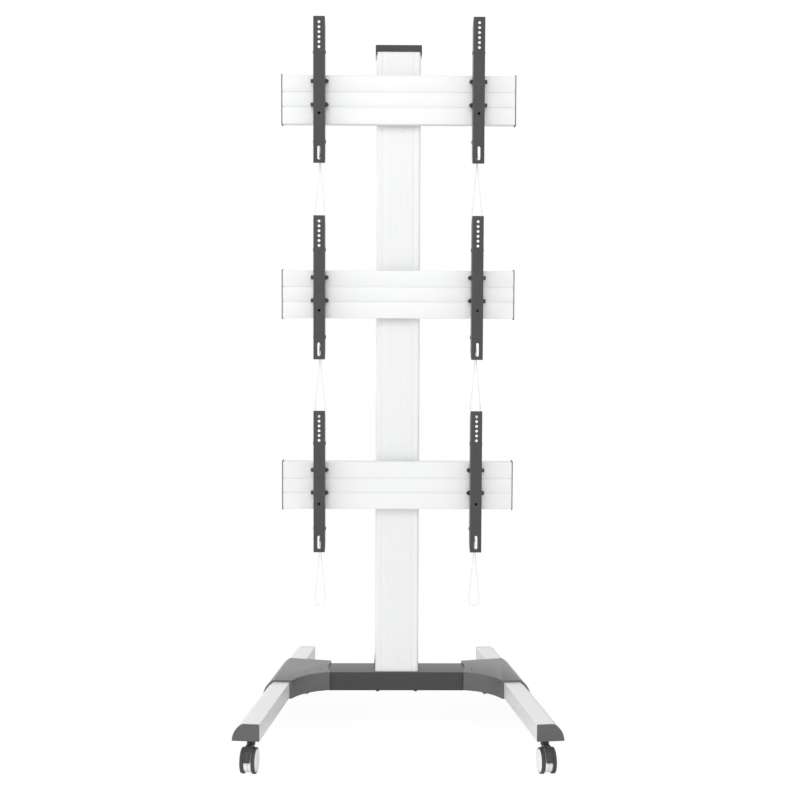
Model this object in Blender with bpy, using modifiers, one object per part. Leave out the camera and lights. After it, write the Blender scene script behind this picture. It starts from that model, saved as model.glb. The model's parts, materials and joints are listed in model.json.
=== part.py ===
"""Video wall floor stand: a wheeled base, a column, three rails and six quick-release arms.

X runs to the right, Y to the rear and Z up. The floor is at Z = 0, and the stand's front faces -Y.
"""

from math import acos, asin, cos, pi, radians, sin, sqrt

import bmesh
import bpy
from mathutils import Matrix, Vector

mm = 0.001

GAP = 0.3 * mm                      # between pieces that touch
SINK = 0.4 * mm                     # how far shapes of one piece reach into each other
MARGIN = 5 * mm                     # how far a cutter reaches past what it cuts
THROUGH = 400 * mm                  # length of the cutters that run along a leg
ORIGIN_Y = 1.5 * mm                 # puts the arms' front face here, so that the footprint is centred

# Legs: an extrusion with a flat top and a round outer side, splayed towards the front
LEG_SPLAY = radians(7.2)
LEG_FRONT_X = 395.8 * mm            # inner bottom corner of a leg's front end
LEG_FRONT_Y = -451.5 * mm
LEG_LENGTH = 920 * mm
LEG_BOTTOM = 97.7 * mm
LEG_HEIGHT = 49.3 * mm
LEG_WIDTH = 79.5 * mm
LEG_ROUND = 55.5 * mm               # radius of the outer side, which stands upright at its foot
LEG_TOP_WIDTH = LEG_WIDTH - LEG_ROUND + sqrt(LEG_ROUND ** 2 - LEG_HEIGHT ** 2)
LEG_WALL = 2.6 * mm
LEG_WEB = 47.0 * mm                 # inner face of the web between the leg's two chambers
LEG_CAP = 4.7 * mm
LEG_PLUG = 12 * mm

# Corner brackets
BRACKET_BOTTOM = 94.5 * mm
BRACKET_TOP = 153.5 * mm
BRACKET_INNER_WALL = 6.9 * mm
BRACKET_OUTER_WALL = 6.0 * mm
BRACKET_FRONT = 453.5 * mm          # along the leg
BRACKET_REAR = 734 * mm             # along the leg, at the edge of the flat top
BRACKET_END_X = 216 * mm
BRACKET_END_FRONT = 99 * mm
BRACKET_END_REAR = 249 * mm
BRACKET_SWEEP = 19.3 * mm           # how far the hollow front stands off its chord's middle
BRACKET_FLAT = 0.24                 # share of the front that is flat, at the beam's end
BRACKET_FLARE = 0.06                # and at the rim on the leg
NOTCH_DEPTH = 7 * mm
NOTCH_HALF_CHORD = 60 * mm

# Cross beam
BEAM_LENGTH = 600 * mm
BEAM_FRONT = 112 * mm
BEAM_DEPTH = 120 * mm
BEAM_TOP = 149.5 * mm
BEAM_HEIGHT = 60 * mm
BEAM_WALL = 3 * mm
BEAM_CORNER = 3.5 * mm
BEAM_END_PLAY = 3 * mm              # between the beam's end and the bracket's socket

# Column
COLUMN_WIDTH = 140 * mm
COLUMN_DEPTH = 100 * mm
COLUMN_FRONT = 122 * mm
COLUMN_TOP = 2146.8 * mm
COLUMN_CORNER = 8 * mm
COLUMN_WALL = 3.5 * mm
COLUMN_WEB = 38.2 * mm              # centre of each web between the middle duct and a side duct
COLUMN_GROOVE_X = 50 * mm
COLUMN_GROOVE_WIDTH = 4 * mm
COLUMN_GROOVE_DEPTH = 1 * mm
COLUMN_FLUTES = 7
FLUTE_PITCH = 10 * mm
FLUTE_WIDTH = 2 * mm
FLUTE_DEPTH = 0.6 * mm
GROOVE_DRAFT = 0.4 * mm             # how much each wall of a groove leans outwards

# Column cap
CAP_TOP = 2151.2 * mm
CAP_BOTTOM = 2130.2 * mm
CAP_SKIRT = 2120.2 * mm             # lower edge of the two side skirts
CAP_HALF_WIDTH = 72.8 * mm
CAP_OVERHANG = 2.8 * mm
CAP_CORNER = 3 * mm

# Column foot bracket, bent from one plate
FOOT_PLATE = 4 * mm
FOOT_TOP = 236.2 * mm
FOOT_HALF_BASE = 73 * mm
FOOT_HALF_TOP = 67.2 * mm
FOOT_DROP = 47 * mm                 # how far it hangs down behind the beam

# Rails
RAIL_HALF_LENGTH = 366 * mm
RAIL_FRONT = 69 * mm
RAIL_DEPTH = 45 * mm
RAIL_HEIGHT = 150 * mm
RAIL_CORNER = 2 * mm
RAIL_WALL = 3 * mm
RAIL_LINE_Z = 23 * mm               # the two shallow grooves along the front, from the middle
RAIL_LINE_WIDTH = 10 * mm
RAIL_LINE_DEPTH = 2.8 * mm
RAIL_CAP = 3 * mm
RAIL_CAP_PROUD = 3 * mm             # above and below the rail
RAIL_CAP_RIM = 1 * mm               # in front of it and behind
RAIL_GROOVE_FRONT = 100 * mm
RAIL_GROOVE_WIDTH = 8 * mm
RAIL_GROOVE_DEPTH = 12 * mm
CLAMP_WIDTH = 124 * mm
CLAMP_HEIGHT = 110 * mm

# Rows of arms
ROWS = ("top", "middle", "bottom")
ROW_PITCH = 605 * mm
ARM_TOP = 2216.7 * mm               # top end of the highest arms
ARM_X = 245.7 * mm
RAIL_BELOW_ARM_TOP = 243 * mm       # rail centre below the arm's top end

# Arms: positions along an arm are measured down from its top end
ARM_LENGTH = 445 * mm
ARM_WIDTH = 35.5 * mm
ARM_DEPTH = 58 * mm
ARM_SHEET = 2.5 * mm
ARM_BEND = 3 * mm
ARM_END_DEPTH = 38 * mm             # the side flanges' rear corners are cut off to this depth
ARM_TAPER = 24 * mm
HOLE_RADIUS = 4.25 * mm
HOLE_FIRST = 17.5 * mm
HOLE_PITCH = 15 * mm
HOLE_COUNT = 6
HOLE_MIDDLE = 292.5 * mm
SLOT_START = 392.5 * mm
SLOT_END = 434.5 * mm
SLOT_WIDTH = 10 * mm
BOLT_Y = 43 * mm                    # axis of the two through bolts behind the arm's face
PIVOT_BOLT = 190.3 * mm
GUIDE_BOLT = 262.2 * mm
BOLT_RADIUS = 4 * mm
BOLT_PLAY = 0.75 * mm               # between a bolt and the edge of its hole
BOLT_HEAD_RADIUS = 7.2 * mm
BOLT_HALF_LENGTH = 28 * mm
TILT_SLOT = 2.8 * mm                # half travel of the guide bolt in the arm's side slots

# Hook carriers, each a channel that stands inside its arm, with a hook bent from its back
CHEEK = 2.2 * mm
CHEEK_FRONT = 30 * mm
CARRIER_BACK = 66 * mm
CARRIER_PLATE = 2.6 * mm
CARRIER_INSET = 2 * mm              # its lower end above the rail's underside
HOOK_WIDTH = 28 * mm
HOOK_PLATE = 3.4 * mm
HOOK_ROOT = 12 * mm                 # how far the hook's plate runs down the carrier's back
HOOK_REACH = 9 * mm                 # how deep a hook or a latch reaches into its groove
TONGUE_PLAY = 0.4 * mm              # between a tongue and each side of its groove

# Guides, which hold the latches to the carriers
GUIDE_HALF_WIDTH = 8.3 * mm
GUIDE_WALL = 2 * mm
GUIDE_LIP = 2.5 * mm                # how far each lip reaches over the latch
GUIDE_PLAY = 0.6 * mm
GUIDE_LENGTH = 24 * mm
STRAP_OVERLAP = 14 * mm             # how far the strap runs down the guide's back

# Latches
LATCH_WIDTH = 16 * mm
LATCH_PLATE = 3 * mm
LATCH_FRONT = 69.4 * mm
LATCH_REST = 0.5 * mm               # between its shelf and the rail's underside
LATCH_TRAVEL = 12 * mm
LATCH_CLEARANCE = 1 * mm            # between its shelf, pulled down, and the guide
LATCH_END = 360 * mm
WIRE_START = 354 * mm
WIRE_RADIUS = 1.5 * mm
FERRULE_RADIUS = 2.1 * mm
FERRULE_START = 407 * mm
FERRULE_END = 419 * mm

# Pull cords: a loop from the ferrule, as offsets from the arm's centre line and its top end
CORD_DIAMETER = 3 * mm
CORD_POINTS = 35
CORD_SIDE = (
    (1.7, 419.3), (1.7, 430), (2.2, 448), (4.6, 486), (9.4, 532), (13.4, 572), (15.6, 600), (13.6, 619),
    (7.0, 627.4),
)
CORD_BOTTOM = 628.6

# Casters, each modelled with its stem's axis at X = Y = 0 and its wheels ahead of it
STEM_INSET = 32.3 * mm              # from the leg's inner side
STEM_FROM_END = 42 * mm
TRAIL = 24 * mm
WHEEL_RADIUS = 37.5 * mm
DRUM_RADIUS = 33 * mm
TYRE_INNER = 9.3 * mm
TYRE_OUTER = 21.8 * mm
TYRE_SHOULDER = (1.4 * mm, 1.8 * mm)
DISC_CROWN = 1.2 * mm
DRUM_INNER = 1.3 * mm
AXLE_RADIUS = 4 * mm
AXLE_HALF_LENGTH = 19 * mm
HOOD_INNER = 38.3 * mm
HOOD_OUTER = 44 * mm
HOOD_WIDTH = 18 * mm
HOOD_FRONT = radians(6)
HOOD_REAR = radians(190)
WEB_PLATE = 2 * mm                  # between the two wheels, from the hood to the axle
WEB_HUB = 9 * mm
PEDAL_TOP = radians(51)
PEDAL_HINGE = radians(47)
PEDAL_WIDTH = 12 * mm
PEDAL_PLAY = 0.4 * mm
PEDAL_PIN_RADIUS = 1.6 * mm
COLLAR_RADIUS = 12.8 * mm
COLLAR_BOTTOM = 86.6 * mm
STEM_RADIUS = 5 * mm
STEM_RISE = 24 * mm                 # into the leg
BOSS_RADIUS = 9.6 * mm
BOSS_TOP = 86.1 * mm
BOSS_BOTTOM = 69 * mm
SOCKET_FLOOR = 3 * mm

CORNERS = (("front_left", -1, 0), ("front_right", 1, 0), ("rear_left", -1, 1), ("rear_right", 1, 1))
SIDES = (("left", -1), ("right", 1))

COLOURS = {                         # base colour, metallic, roughness
    "silver": ((0.78, 0.79, 0.80), 0.9, 0.38),
    "cap_grey": ((0.13, 0.13, 0.13), 0.0, 0.5),
    "bracket_grey": ((0.11, 0.11, 0.11), 0.3, 0.45),
    "beam_grey": ((0.085, 0.085, 0.087), 0.3, 0.45),
    "arm_grey": ((0.09, 0.09, 0.092), 0.3, 0.5),
    "zinc": ((0.30, 0.30, 0.31), 0.9, 0.4),
    "cord_white": ((0.82, 0.82, 0.80), 0.0, 0.7),
    "caster_grey": ((0.075, 0.075, 0.077), 0.0, 0.5),
    "wheel_grey": ((0.60, 0.60, 0.60), 0.0, 0.45),
    "stem_black": ((0.03, 0.03, 0.03), 0.6, 0.4),
}


def clear_scene():
    for item in list(bpy.data.objects):
        bpy.data.objects.remove(item, do_unlink=True)


def collection(name):
    group = bpy.data.collections.new(name)
    bpy.context.scene.collection.children.link(group)
    return group


def material(piece, colour):
    base, metallic, roughness = COLOURS[colour]
    surface = bpy.data.materials.new(piece)
    surface.use_nodes = True
    shader = surface.node_tree.nodes["Principled BSDF"]
    shader.inputs["Base Color"].default_value = (*base, 1)
    shader.inputs["Metallic"].default_value = metallic
    shader.inputs["Roughness"].default_value = roughness
    surface.diffuse_color = (*base, 1)
    return surface


# Shapes

def axes(origin, x_axis, y_axis, z_axis):
    matrix = Matrix((x_axis, y_axis, z_axis)).transposed().to_4x4()
    matrix.translation = origin
    return matrix


def upward(x=0, y=0, z=0):
    """An outline in X and Y, drawn upwards."""
    return axes((x, y, z), (1, 0, 0), (0, 1, 0), (0, 0, 1))


def sideways(x=0, y=0, z=0):
    """An outline in Y and Z, drawn to the right."""
    return axes((x, y, z), (0, 1, 0), (0, 0, 1), (1, 0, 0))


def rearward(x=0, y=0, z=0):
    """An outline in X and Z, drawn to the rear."""
    return axes((x, y, z), (1, 0, 0), (0, 0, 1), (0, 1, 0))


def baked(item, matrix=None):
    """The object's evaluated mesh as an object of its own, with the matrix worked in."""
    bpy.context.view_layer.update()
    mesh = bpy.data.meshes.new_from_object(item.evaluated_get(bpy.context.evaluated_depsgraph_get()))
    name = item.name
    whole = (matrix or Matrix()) @ item.matrix_world
    bpy.data.objects.remove(item, do_unlink=True)
    shape = bmesh.new()
    shape.from_mesh(mesh)
    bmesh.ops.remove_doubles(shape, verts=shape.verts, dist=1e-6)
    bmesh.ops.transform(shape, matrix=whole, verts=shape.verts)
    bmesh.ops.recalc_face_normals(shape, faces=shape.faces)
    shape.to_mesh(mesh)
    shape.free()
    result = bpy.data.objects.new(name, mesh)
    workshop.objects.link(result)
    return result


def extrusion(name, outlines, length, matrix):
    """A flat outline, with any holes as further outlines, drawn out to a length."""
    curve = bpy.data.curves.new(name, "CURVE")
    curve.dimensions = "2D"
    curve.fill_mode = "BOTH"
    curve.extrude = length / 2
    for outline in outlines:
        spline = curve.splines.new("POLY")
        spline.points.add(len(outline) - 1)
        for point, (x, y) in zip(spline.points, outline):
            point.co = (x, y, 0, 1)
        spline.use_cyclic_u = True
    item = bpy.data.objects.new(name, curve)
    workshop.objects.link(item)
    return baked(item, matrix @ Matrix.Translation((0, 0, length / 2)))


def turned(name, profile, steps, matrix):
    """A profile of radius and height, listed down its outer side, turned about Z."""
    mesh = bpy.data.meshes.new(name)
    mesh.from_pydata([(radius, 0, height) for radius, height in profile],
                     [(i, i + 1) for i in range(len(profile) - 1)], [])
    item = bpy.data.objects.new(name, mesh)
    workshop.objects.link(item)
    screw = item.modifiers.new("turn", "SCREW")
    screw.steps = screw.render_steps = steps
    screw.use_merge_vertices = True
    screw.merge_threshold = 1e-5
    return baked(item, matrix)


def rod(name, radius, start, end, sides=12):
    """A cylinder between two points."""
    span = Vector(end) - Vector(start)
    bpy.ops.mesh.primitive_cylinder_add(vertices=sides, radius=radius, depth=span.length)
    item = bpy.context.object
    item.name = name
    item.matrix_world = (Matrix.Translation((Vector(start) + Vector(end)) / 2)
                         @ span.to_track_quat("Z", "Y").to_matrix().to_4x4())
    return baked(item)


def combined(item, other, operation):
    """The object after one Boolean with another, which is used up."""
    change = item.modifiers.new("shape", "BOOLEAN")
    change.object = other
    change.operation = operation
    change.solver = "EXACT"
    other.hide_render = True
    other.display_type = "WIRE"
    result = baked(item)
    workshop.objects.unlink(other)
    cutters.objects.link(other)
    return result


def cut(item, other):
    return combined(item, other, "DIFFERENCE")


def joined(item, other):
    return combined(item, other, "UNION")


def trimmed(item, other):
    return combined(item, other, "INTERSECT")


def arc(centre_x, centre_y, radius, start, end, steps):
    """Points on a circle's arc, both ends included."""
    turns = [start + (end - start) * i / steps for i in range(steps + 1)]
    return [(centre_x + radius * cos(turn), centre_y + radius * sin(turn)) for turn in turns]


def circle(x, y, radius, sides):
    return arc(x, y, radius, 0, 2 * pi, sides)[:-1]


def box_outline(x0, y0, x1, y1, corner=0, steps=3):
    if not corner:
        return [(x0, y0), (x1, y0), (x1, y1), (x0, y1)]
    return (arc(x1 - corner, y0 + corner, corner, -pi / 2, 0, steps)
            + arc(x1 - corner, y1 - corner, corner, 0, pi / 2, steps)
            + arc(x0 + corner, y1 - corner, corner, pi / 2, pi, steps)
            + arc(x0 + corner, y0 + corner, corner, pi, pi * 1.5, steps))


def stadium(x, y0, y1, half_width, steps=5):
    """An upright slot with round ends."""
    return (arc(x, y1 - half_width, half_width, 0, pi, steps)
            + arc(x, y0 + half_width, half_width, pi, 2 * pi, steps))


def groove(mouth, depth, draft=0.0):
    """A groove as steps along a face and into it, with walls that lean outwards by the draft."""
    floor = mouth / 2 - draft
    return [(-mouth / 2, 0), (-floor, depth), (floor, depth), (mouth / 2, 0)]


def along_face(corner_x, corner_y, step_x, step_y, features):
    """Outline points of grooves and flutes, at their distances along a straight face.

    The face's inner side is to the left of the direction in which it runs.
    """
    points = []
    for distance, feature in features:
        for along, into in feature:
            run = distance + along
            points.append((corner_x + step_x * run - step_y * into, corner_y + step_y * run + step_x * into))
    return points


def place(item, name, colour, origin=(0, 0, 0), parent=None, smooth=None):
    """Puts a finished mesh into the stand, with its origin at a point of the stand."""
    item.name = name
    item.data.name = name
    item.data.transform(Matrix.Translation(-Vector(origin)))
    item.location = Vector(origin)
    finish(item, colour, parent, smooth)
    return item


def repeat(source, name, colour, matrix, parent=None, smooth=None):
    """A copy of a finished shape that shares its mesh."""
    item = bpy.data.objects.new(name, source.data)
    item.matrix_world = matrix
    finish(item, colour, parent, smooth)
    return item


def finish(item, colour, parent, smooth):
    for group in list(item.users_collection):
        group.objects.unlink(item)
    stand.objects.link(item)
    if not item.data.materials:
        item.data.materials.append(None)
    item.material_slots[0].link = "OBJECT"
    item.material_slots[0].material = material(item.name, colour)
    if smooth:
        item.data.shade_smooth()
        item.data.set_sharp_from_angle(angle=smooth)
    if parent:
        world = item.matrix_world.copy() if item.parent else item.matrix_basis.copy()
        item.parent = parent
        item.matrix_parent_inverse = Matrix()
        item.matrix_basis = parent.matrix_world.inverted() @ world


# Base

def leg_axes(side, u=0.0, t=0.0, v=0.0):
    """A leg's own frame: X outwards from its inner side, Y up, Z rearwards along it."""
    outward = Vector((side * cos(LEG_SPLAY), sin(LEG_SPLAY), 0))
    back = Vector((-side * sin(LEG_SPLAY), cos(LEG_SPLAY), 0))
    corner = Vector((side * LEG_FRONT_X, LEG_FRONT_Y + ORIGIN_Y, LEG_BOTTOM))
    return axes(corner + outward * u + back * t + Vector((0, 0, v)), outward, (0, 0, 1), back)


def leg_point(side, u, t):
    point = leg_axes(side, u, t).translation
    return point.x, point.y


def leg_outline(grow=0.0, steps=8):
    """The leg's section, grown outwards all round."""
    radius, top = LEG_ROUND + grow, LEG_HEIGHT + grow
    side = arc(LEG_WIDTH - LEG_ROUND, 0, radius, -asin(grow / radius), asin(top / radius), steps)
    return [(-grow, -grow)] + side + [(-grow, top)]


def leg_chambers():
    """The two hollows of the leg's section, either side of its web."""
    main = box_outline(LEG_WALL, LEG_WALL, LEG_WEB, LEG_HEIGHT - LEG_WALL)
    web = LEG_WEB + LEG_WALL
    centre, radius = LEG_WIDTH - LEG_ROUND, LEG_ROUND - LEG_WALL
    curved = arc(centre, 0, radius, asin(LEG_WALL / radius), acos((web - centre) / radius), 6)
    return main, [(web, LEG_WALL)] + curved


def build_legs():
    inner = LEG_WALL + GAP
    plug = box_outline(inner, inner, LEG_WEB - GAP, LEG_HEIGHT - inner)
    for label, side in SIDES:
        leg = extrusion("leg", [leg_outline(), *leg_chambers()], LEG_LENGTH - 2 * (LEG_CAP + GAP),
                        leg_axes(side, t=LEG_CAP + GAP))
        for along in (STEM_FROM_END, LEG_LENGTH - STEM_FROM_END):
            x, y = leg_point(side, STEM_INSET, along)
            hole = rod("stem hole", STEM_RADIUS + SINK, (x, y, LEG_BOTTOM - MARGIN),
                       (x, y, LEG_BOTTOM + LEG_WALL + MARGIN))
            leg = cut(leg, hole)
        place(leg, "leg_" + label, "silver", smooth=radians(25))
        ends = (("front", 0, LEG_CAP - SINK), ("rear", LEG_LENGTH - LEG_CAP, SINK - LEG_PLUG))
        for end, start, plug_start in ends:
            cap = extrusion("cap", [leg_outline()], LEG_CAP, leg_axes(side, t=start))
            filler = extrusion("plug", [plug], LEG_PLUG, leg_axes(side, t=start + plug_start))
            place(joined(cap, filler), "leg_cap_%s_%s" % (end, label), "cap_grey", smooth=radians(25))


def hollow_front(start, end, depth, first_flat, last_flat, steps=9):
    """A curve that stands off its chord to the left, with a straight share at each end."""
    first, last = Vector(start), Vector(end)
    chord = last - first
    half = chord.length / 2
    radius = (half * half + depth * depth) / (2 * depth)
    left = Vector((-chord.y, chord.x)).normalized()
    centre = (first + last) / 2 + left * (depth - radius)
    opening = (first - centre).angle(last - centre)
    curved = [first_flat + (1 - first_flat - last_flat) * i / steps for i in range(steps + 1)]
    points = []
    for share in (0, *curved, 1):
        turn = opening * (share - 0.5)
        points.append(tuple(centre + left * radius * cos(turn) + chord.normalized() * radius * sin(turn)))
    return points


def bracket_plan(side):
    """The bracket from above: the curved front, the beam's end, the slanted rear and the leg's outer side."""
    outer = LEG_WIDTH + BRACKET_OUTER_WALL
    rim = leg_point(side, -BRACKET_INNER_WALL, BRACKET_FRONT)
    end_front = (side * BRACKET_END_X, BRACKET_END_FRONT + ORIGIN_Y)
    end_rear = Vector((side * BRACKET_END_X, BRACKET_END_REAR + ORIGIN_Y))
    corner = Vector(leg_point(side, LEG_TOP_WIDTH, BRACKET_REAR))
    into_leg = Vector((side * cos(LEG_SPLAY), sin(LEG_SPLAY)))
    reach = (corner - end_rear).dot(into_leg)
    far_rear = end_rear + (corner - end_rear) * (reach + outer - LEG_TOP_WIDTH) / reach
    if side < 0:
        front = hollow_front(rim, end_front, BRACKET_SWEEP, BRACKET_FLARE, BRACKET_FLAT)
    else:
        front = hollow_front(end_front, rim, BRACKET_SWEEP, BRACKET_FLAT, BRACKET_FLARE)[::-1]
    return front + [tuple(end_rear), tuple(far_rear), leg_point(side, outer, BRACKET_FRONT)]


def bracket_skin():
    """What is cut away outside the bracket's round outer side, in the leg's section."""
    outer = LEG_WIDTH + BRACKET_OUTER_WALL
    radius = LEG_ROUND + BRACKET_OUTER_WALL
    top = BRACKET_TOP - LEG_BOTTOM
    curve = arc(LEG_WIDTH - LEG_ROUND, 0, radius, 0, asin(top / radius), 8)
    return curve + [(curve[-1][0], top + MARGIN), (outer + MARGIN, top + MARGIN),
                    (outer + MARGIN, -2 * MARGIN), (outer, -2 * MARGIN)]


def build_brackets():
    front_y, rear_y = BEAM_FRONT + ORIGIN_Y, BEAM_FRONT + BEAM_DEPTH + ORIGIN_Y
    socket = box_outline(front_y - GAP, BRACKET_BOTTOM - MARGIN, rear_y + GAP, BEAM_TOP + GAP)
    radius = (NOTCH_HALF_CHORD ** 2 + NOTCH_DEPTH ** 2) / (2 * NOTCH_DEPTH)
    tall = BRACKET_TOP - BRACKET_BOTTOM
    for label, side in SIDES:
        bracket = extrusion("bracket", [bracket_plan(side)], tall, upward(z=BRACKET_BOTTOM))
        along_leg = leg_axes(side, t=BRACKET_FRONT - 8 * MARGIN)
        bracket = cut(bracket, extrusion("outer side", [bracket_skin()], THROUGH, along_leg))
        bracket = cut(bracket, extrusion("tunnel", [leg_outline(GAP)], THROUGH, along_leg))
        near, far = sorted((side * (BRACKET_END_X - MARGIN), side * (BEAM_LENGTH / 2 + BEAM_END_PLAY)))
        bracket = cut(bracket, extrusion("socket", [socket], far - near, sideways(x=near)))
        centre = (side * (BRACKET_END_X + NOTCH_DEPTH - radius), (front_y + rear_y) / 2)
        notch = rod("notch", radius, (*centre, BEAM_TOP - MARGIN), (*centre, BRACKET_TOP + MARGIN), 72)
        place(cut(bracket, notch), "corner_bracket_" + label, "bracket_grey", smooth=radians(25))


def build_beam():
    rear = BEAM_FRONT + BEAM_DEPTH
    outside = box_outline(BEAM_FRONT, BEAM_TOP - BEAM_HEIGHT, rear, BEAM_TOP, BEAM_CORNER)
    inside = box_outline(BEAM_FRONT + BEAM_WALL, BEAM_TOP - BEAM_HEIGHT + BEAM_WALL, rear - BEAM_WALL,
                         BEAM_TOP - BEAM_WALL)
    beam = extrusion("beam", [outside, inside], BEAM_LENGTH, sideways(-BEAM_LENGTH / 2, ORIGIN_Y))
    place(beam, "cross_beam", "beam_grey", smooth=radians(35))


# Column

def column_outline():
    wide, deep, corner = COLUMN_WIDTH / 2, COLUMN_DEPTH, COLUMN_CORNER
    side_groove = groove(COLUMN_GROOVE_WIDTH, COLUMN_GROOVE_DEPTH, GROOVE_DRAFT)
    flute = [(-FLUTE_WIDTH / 2, 0), (0, FLUTE_DEPTH), (FLUTE_WIDTH / 2, 0)]
    spread = FLUTE_PITCH * (COLUMN_FLUTES - 1) / 2
    flutes = [(wide - spread + FLUTE_PITCH * i, flute) for i in range(COLUMN_FLUTES)]
    left_groove = (wide - COLUMN_GROOVE_X, side_groove)
    right_groove = (wide + COLUMN_GROOVE_X, side_groove)
    front = along_face(-wide, 0, 1, 0, [left_groove, *flutes, right_groove])
    rear = along_face(wide, deep, -1, 0, [left_groove, right_groove])
    return (arc(-wide + corner, corner, corner, pi, pi * 1.5, 3) + front
            + arc(wide - corner, corner, corner, -pi / 2, 0, 3)
            + arc(wide - corner, deep - corner, corner, 0, pi / 2, 3) + rear
            + arc(-wide + corner, deep - corner, corner, pi / 2, pi, 3))


def build_column():
    base = BEAM_TOP + GAP
    near, far = COLUMN_WALL, COLUMN_DEPTH - COLUMN_WALL
    fillet = COLUMN_CORNER - COLUMN_WALL
    web_inner, web_outer = COLUMN_WEB - COLUMN_WALL / 2, COLUMN_WEB + COLUMN_WALL / 2
    duct = box_outline(-web_inner, near, web_inner, far)
    side_duct = box_outline(web_outer, near, COLUMN_WIDTH / 2 - COLUMN_WALL, far, fillet, 2)
    other_duct = [(-x, y) for x, y in side_duct]
    column = extrusion("column", [column_outline(), duct, side_duct, other_duct], COLUMN_TOP - base,
                       upward(0, COLUMN_FRONT + ORIGIN_Y, base))
    place(column, "column", "silver", smooth=radians(25))


def build_column_cap():
    skirt = COLUMN_WIDTH / 2 + GAP
    half = ([(skirt, CAP_BOTTOM), (skirt, CAP_SKIRT), (CAP_HALF_WIDTH, CAP_SKIRT)]
            + arc(CAP_HALF_WIDTH - CAP_CORNER, CAP_TOP - CAP_CORNER, CAP_CORNER, 0, pi / 2, 3))
    outline = half + [(-x, z) for x, z in reversed(half)]
    cap = extrusion("cap", [outline], COLUMN_DEPTH + 2 * CAP_OVERHANG,
                    rearward(y=COLUMN_FRONT - CAP_OVERHANG + ORIGIN_Y))
    floor = CAP_SKIRT - MARGIN
    pocket = box_outline(-skirt, COLUMN_FRONT - GAP, skirt, COLUMN_FRONT + COLUMN_DEPTH + GAP)
    cap = cut(cap, extrusion("pocket", [pocket], COLUMN_TOP + GAP - floor, upward(0, ORIGIN_Y, floor)))
    place(cap, "column_cap", "cap_grey", smooth=radians(35))


def build_foot():
    column_rear = COLUMN_FRONT + COLUMN_DEPTH + GAP
    beam_rear = BEAM_FRONT + BEAM_DEPTH + GAP
    ledge = BEAM_TOP + GAP
    bend = [(column_rear, ledge), (beam_rear, ledge), (beam_rear, ledge - FOOT_DROP),
            (beam_rear + FOOT_PLATE, ledge - FOOT_DROP), (beam_rear + FOOT_PLATE, ledge + FOOT_PLATE),
            (column_rear + FOOT_PLATE, ledge + FOOT_PLATE), (column_rear + FOOT_PLATE, FOOT_TOP),
            (column_rear, FOOT_TOP)]
    blank = FOOT_HALF_BASE + MARGIN
    foot = extrusion("foot", [bend], 2 * blank, sideways(-blank, ORIGIN_Y))
    taper = [(-FOOT_HALF_BASE, ledge - FOOT_DROP - MARGIN), (FOOT_HALF_BASE, ledge - FOOT_DROP - MARGIN),
             (FOOT_HALF_BASE, ledge + FOOT_PLATE), (FOOT_HALF_TOP, FOOT_TOP + MARGIN),
             (-FOOT_HALF_TOP, FOOT_TOP + MARGIN), (-FOOT_HALF_BASE, ledge + FOOT_PLATE)]
    deep = beam_rear + FOOT_PLATE - column_rear + 2 * MARGIN
    foot = trimmed(foot, extrusion("taper", [taper], deep, rearward(y=column_rear - MARGIN + ORIGIN_Y)))
    place(foot, "column_foot_bracket", "beam_grey", smooth=radians(30))


# Rails

def rail_outline():
    """The rail's section in Y and Z, about its own height centre."""
    half, rear, corner = RAIL_HEIGHT / 2, RAIL_FRONT + RAIL_DEPTH, RAIL_CORNER
    hook_groove = groove(RAIL_GROOVE_WIDTH, RAIL_GROOVE_DEPTH)
    line = groove(RAIL_LINE_WIDTH, RAIL_LINE_DEPTH, GROOVE_DRAFT)
    from_front = RAIL_GROOVE_FRONT + RAIL_GROOVE_WIDTH / 2 - RAIL_FRONT
    bottom = along_face(RAIL_FRONT, -half, 1, 0, [(from_front, hook_groove)])
    top = along_face(rear, half, -1, 0, [(RAIL_DEPTH - from_front, hook_groove)])
    front = along_face(RAIL_FRONT, half, 0, -1, [(half - RAIL_LINE_Z, line), (half + RAIL_LINE_Z, line)])
    return (arc(RAIL_FRONT + corner, -half + corner, corner, pi, pi * 1.5, 2) + bottom
            + arc(rear - corner, -half + corner, corner, -pi / 2, 0, 2)
            + arc(rear - corner, half - corner, corner, 0, pi / 2, 2) + top
            + arc(RAIL_FRONT + corner, half - corner, corner, pi / 2, pi, 2) + front)


def rail_chamber():
    """The hollow inside the rail, behind the front grooves and between the two hook grooves."""
    half = RAIL_HEIGHT / 2
    front = RAIL_FRONT + RAIL_LINE_DEPTH + RAIL_WALL
    step = RAIL_GROOVE_FRONT - RAIL_WALL
    rear = RAIL_FRONT + RAIL_DEPTH - RAIL_WALL
    high = half - RAIL_WALL
    low = half - RAIL_GROOVE_DEPTH - RAIL_WALL
    return [(front, -high), (step, -high), (step, -low), (rear, -low), (rear, low), (step, low),
            (step, high), (front, high)]


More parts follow.
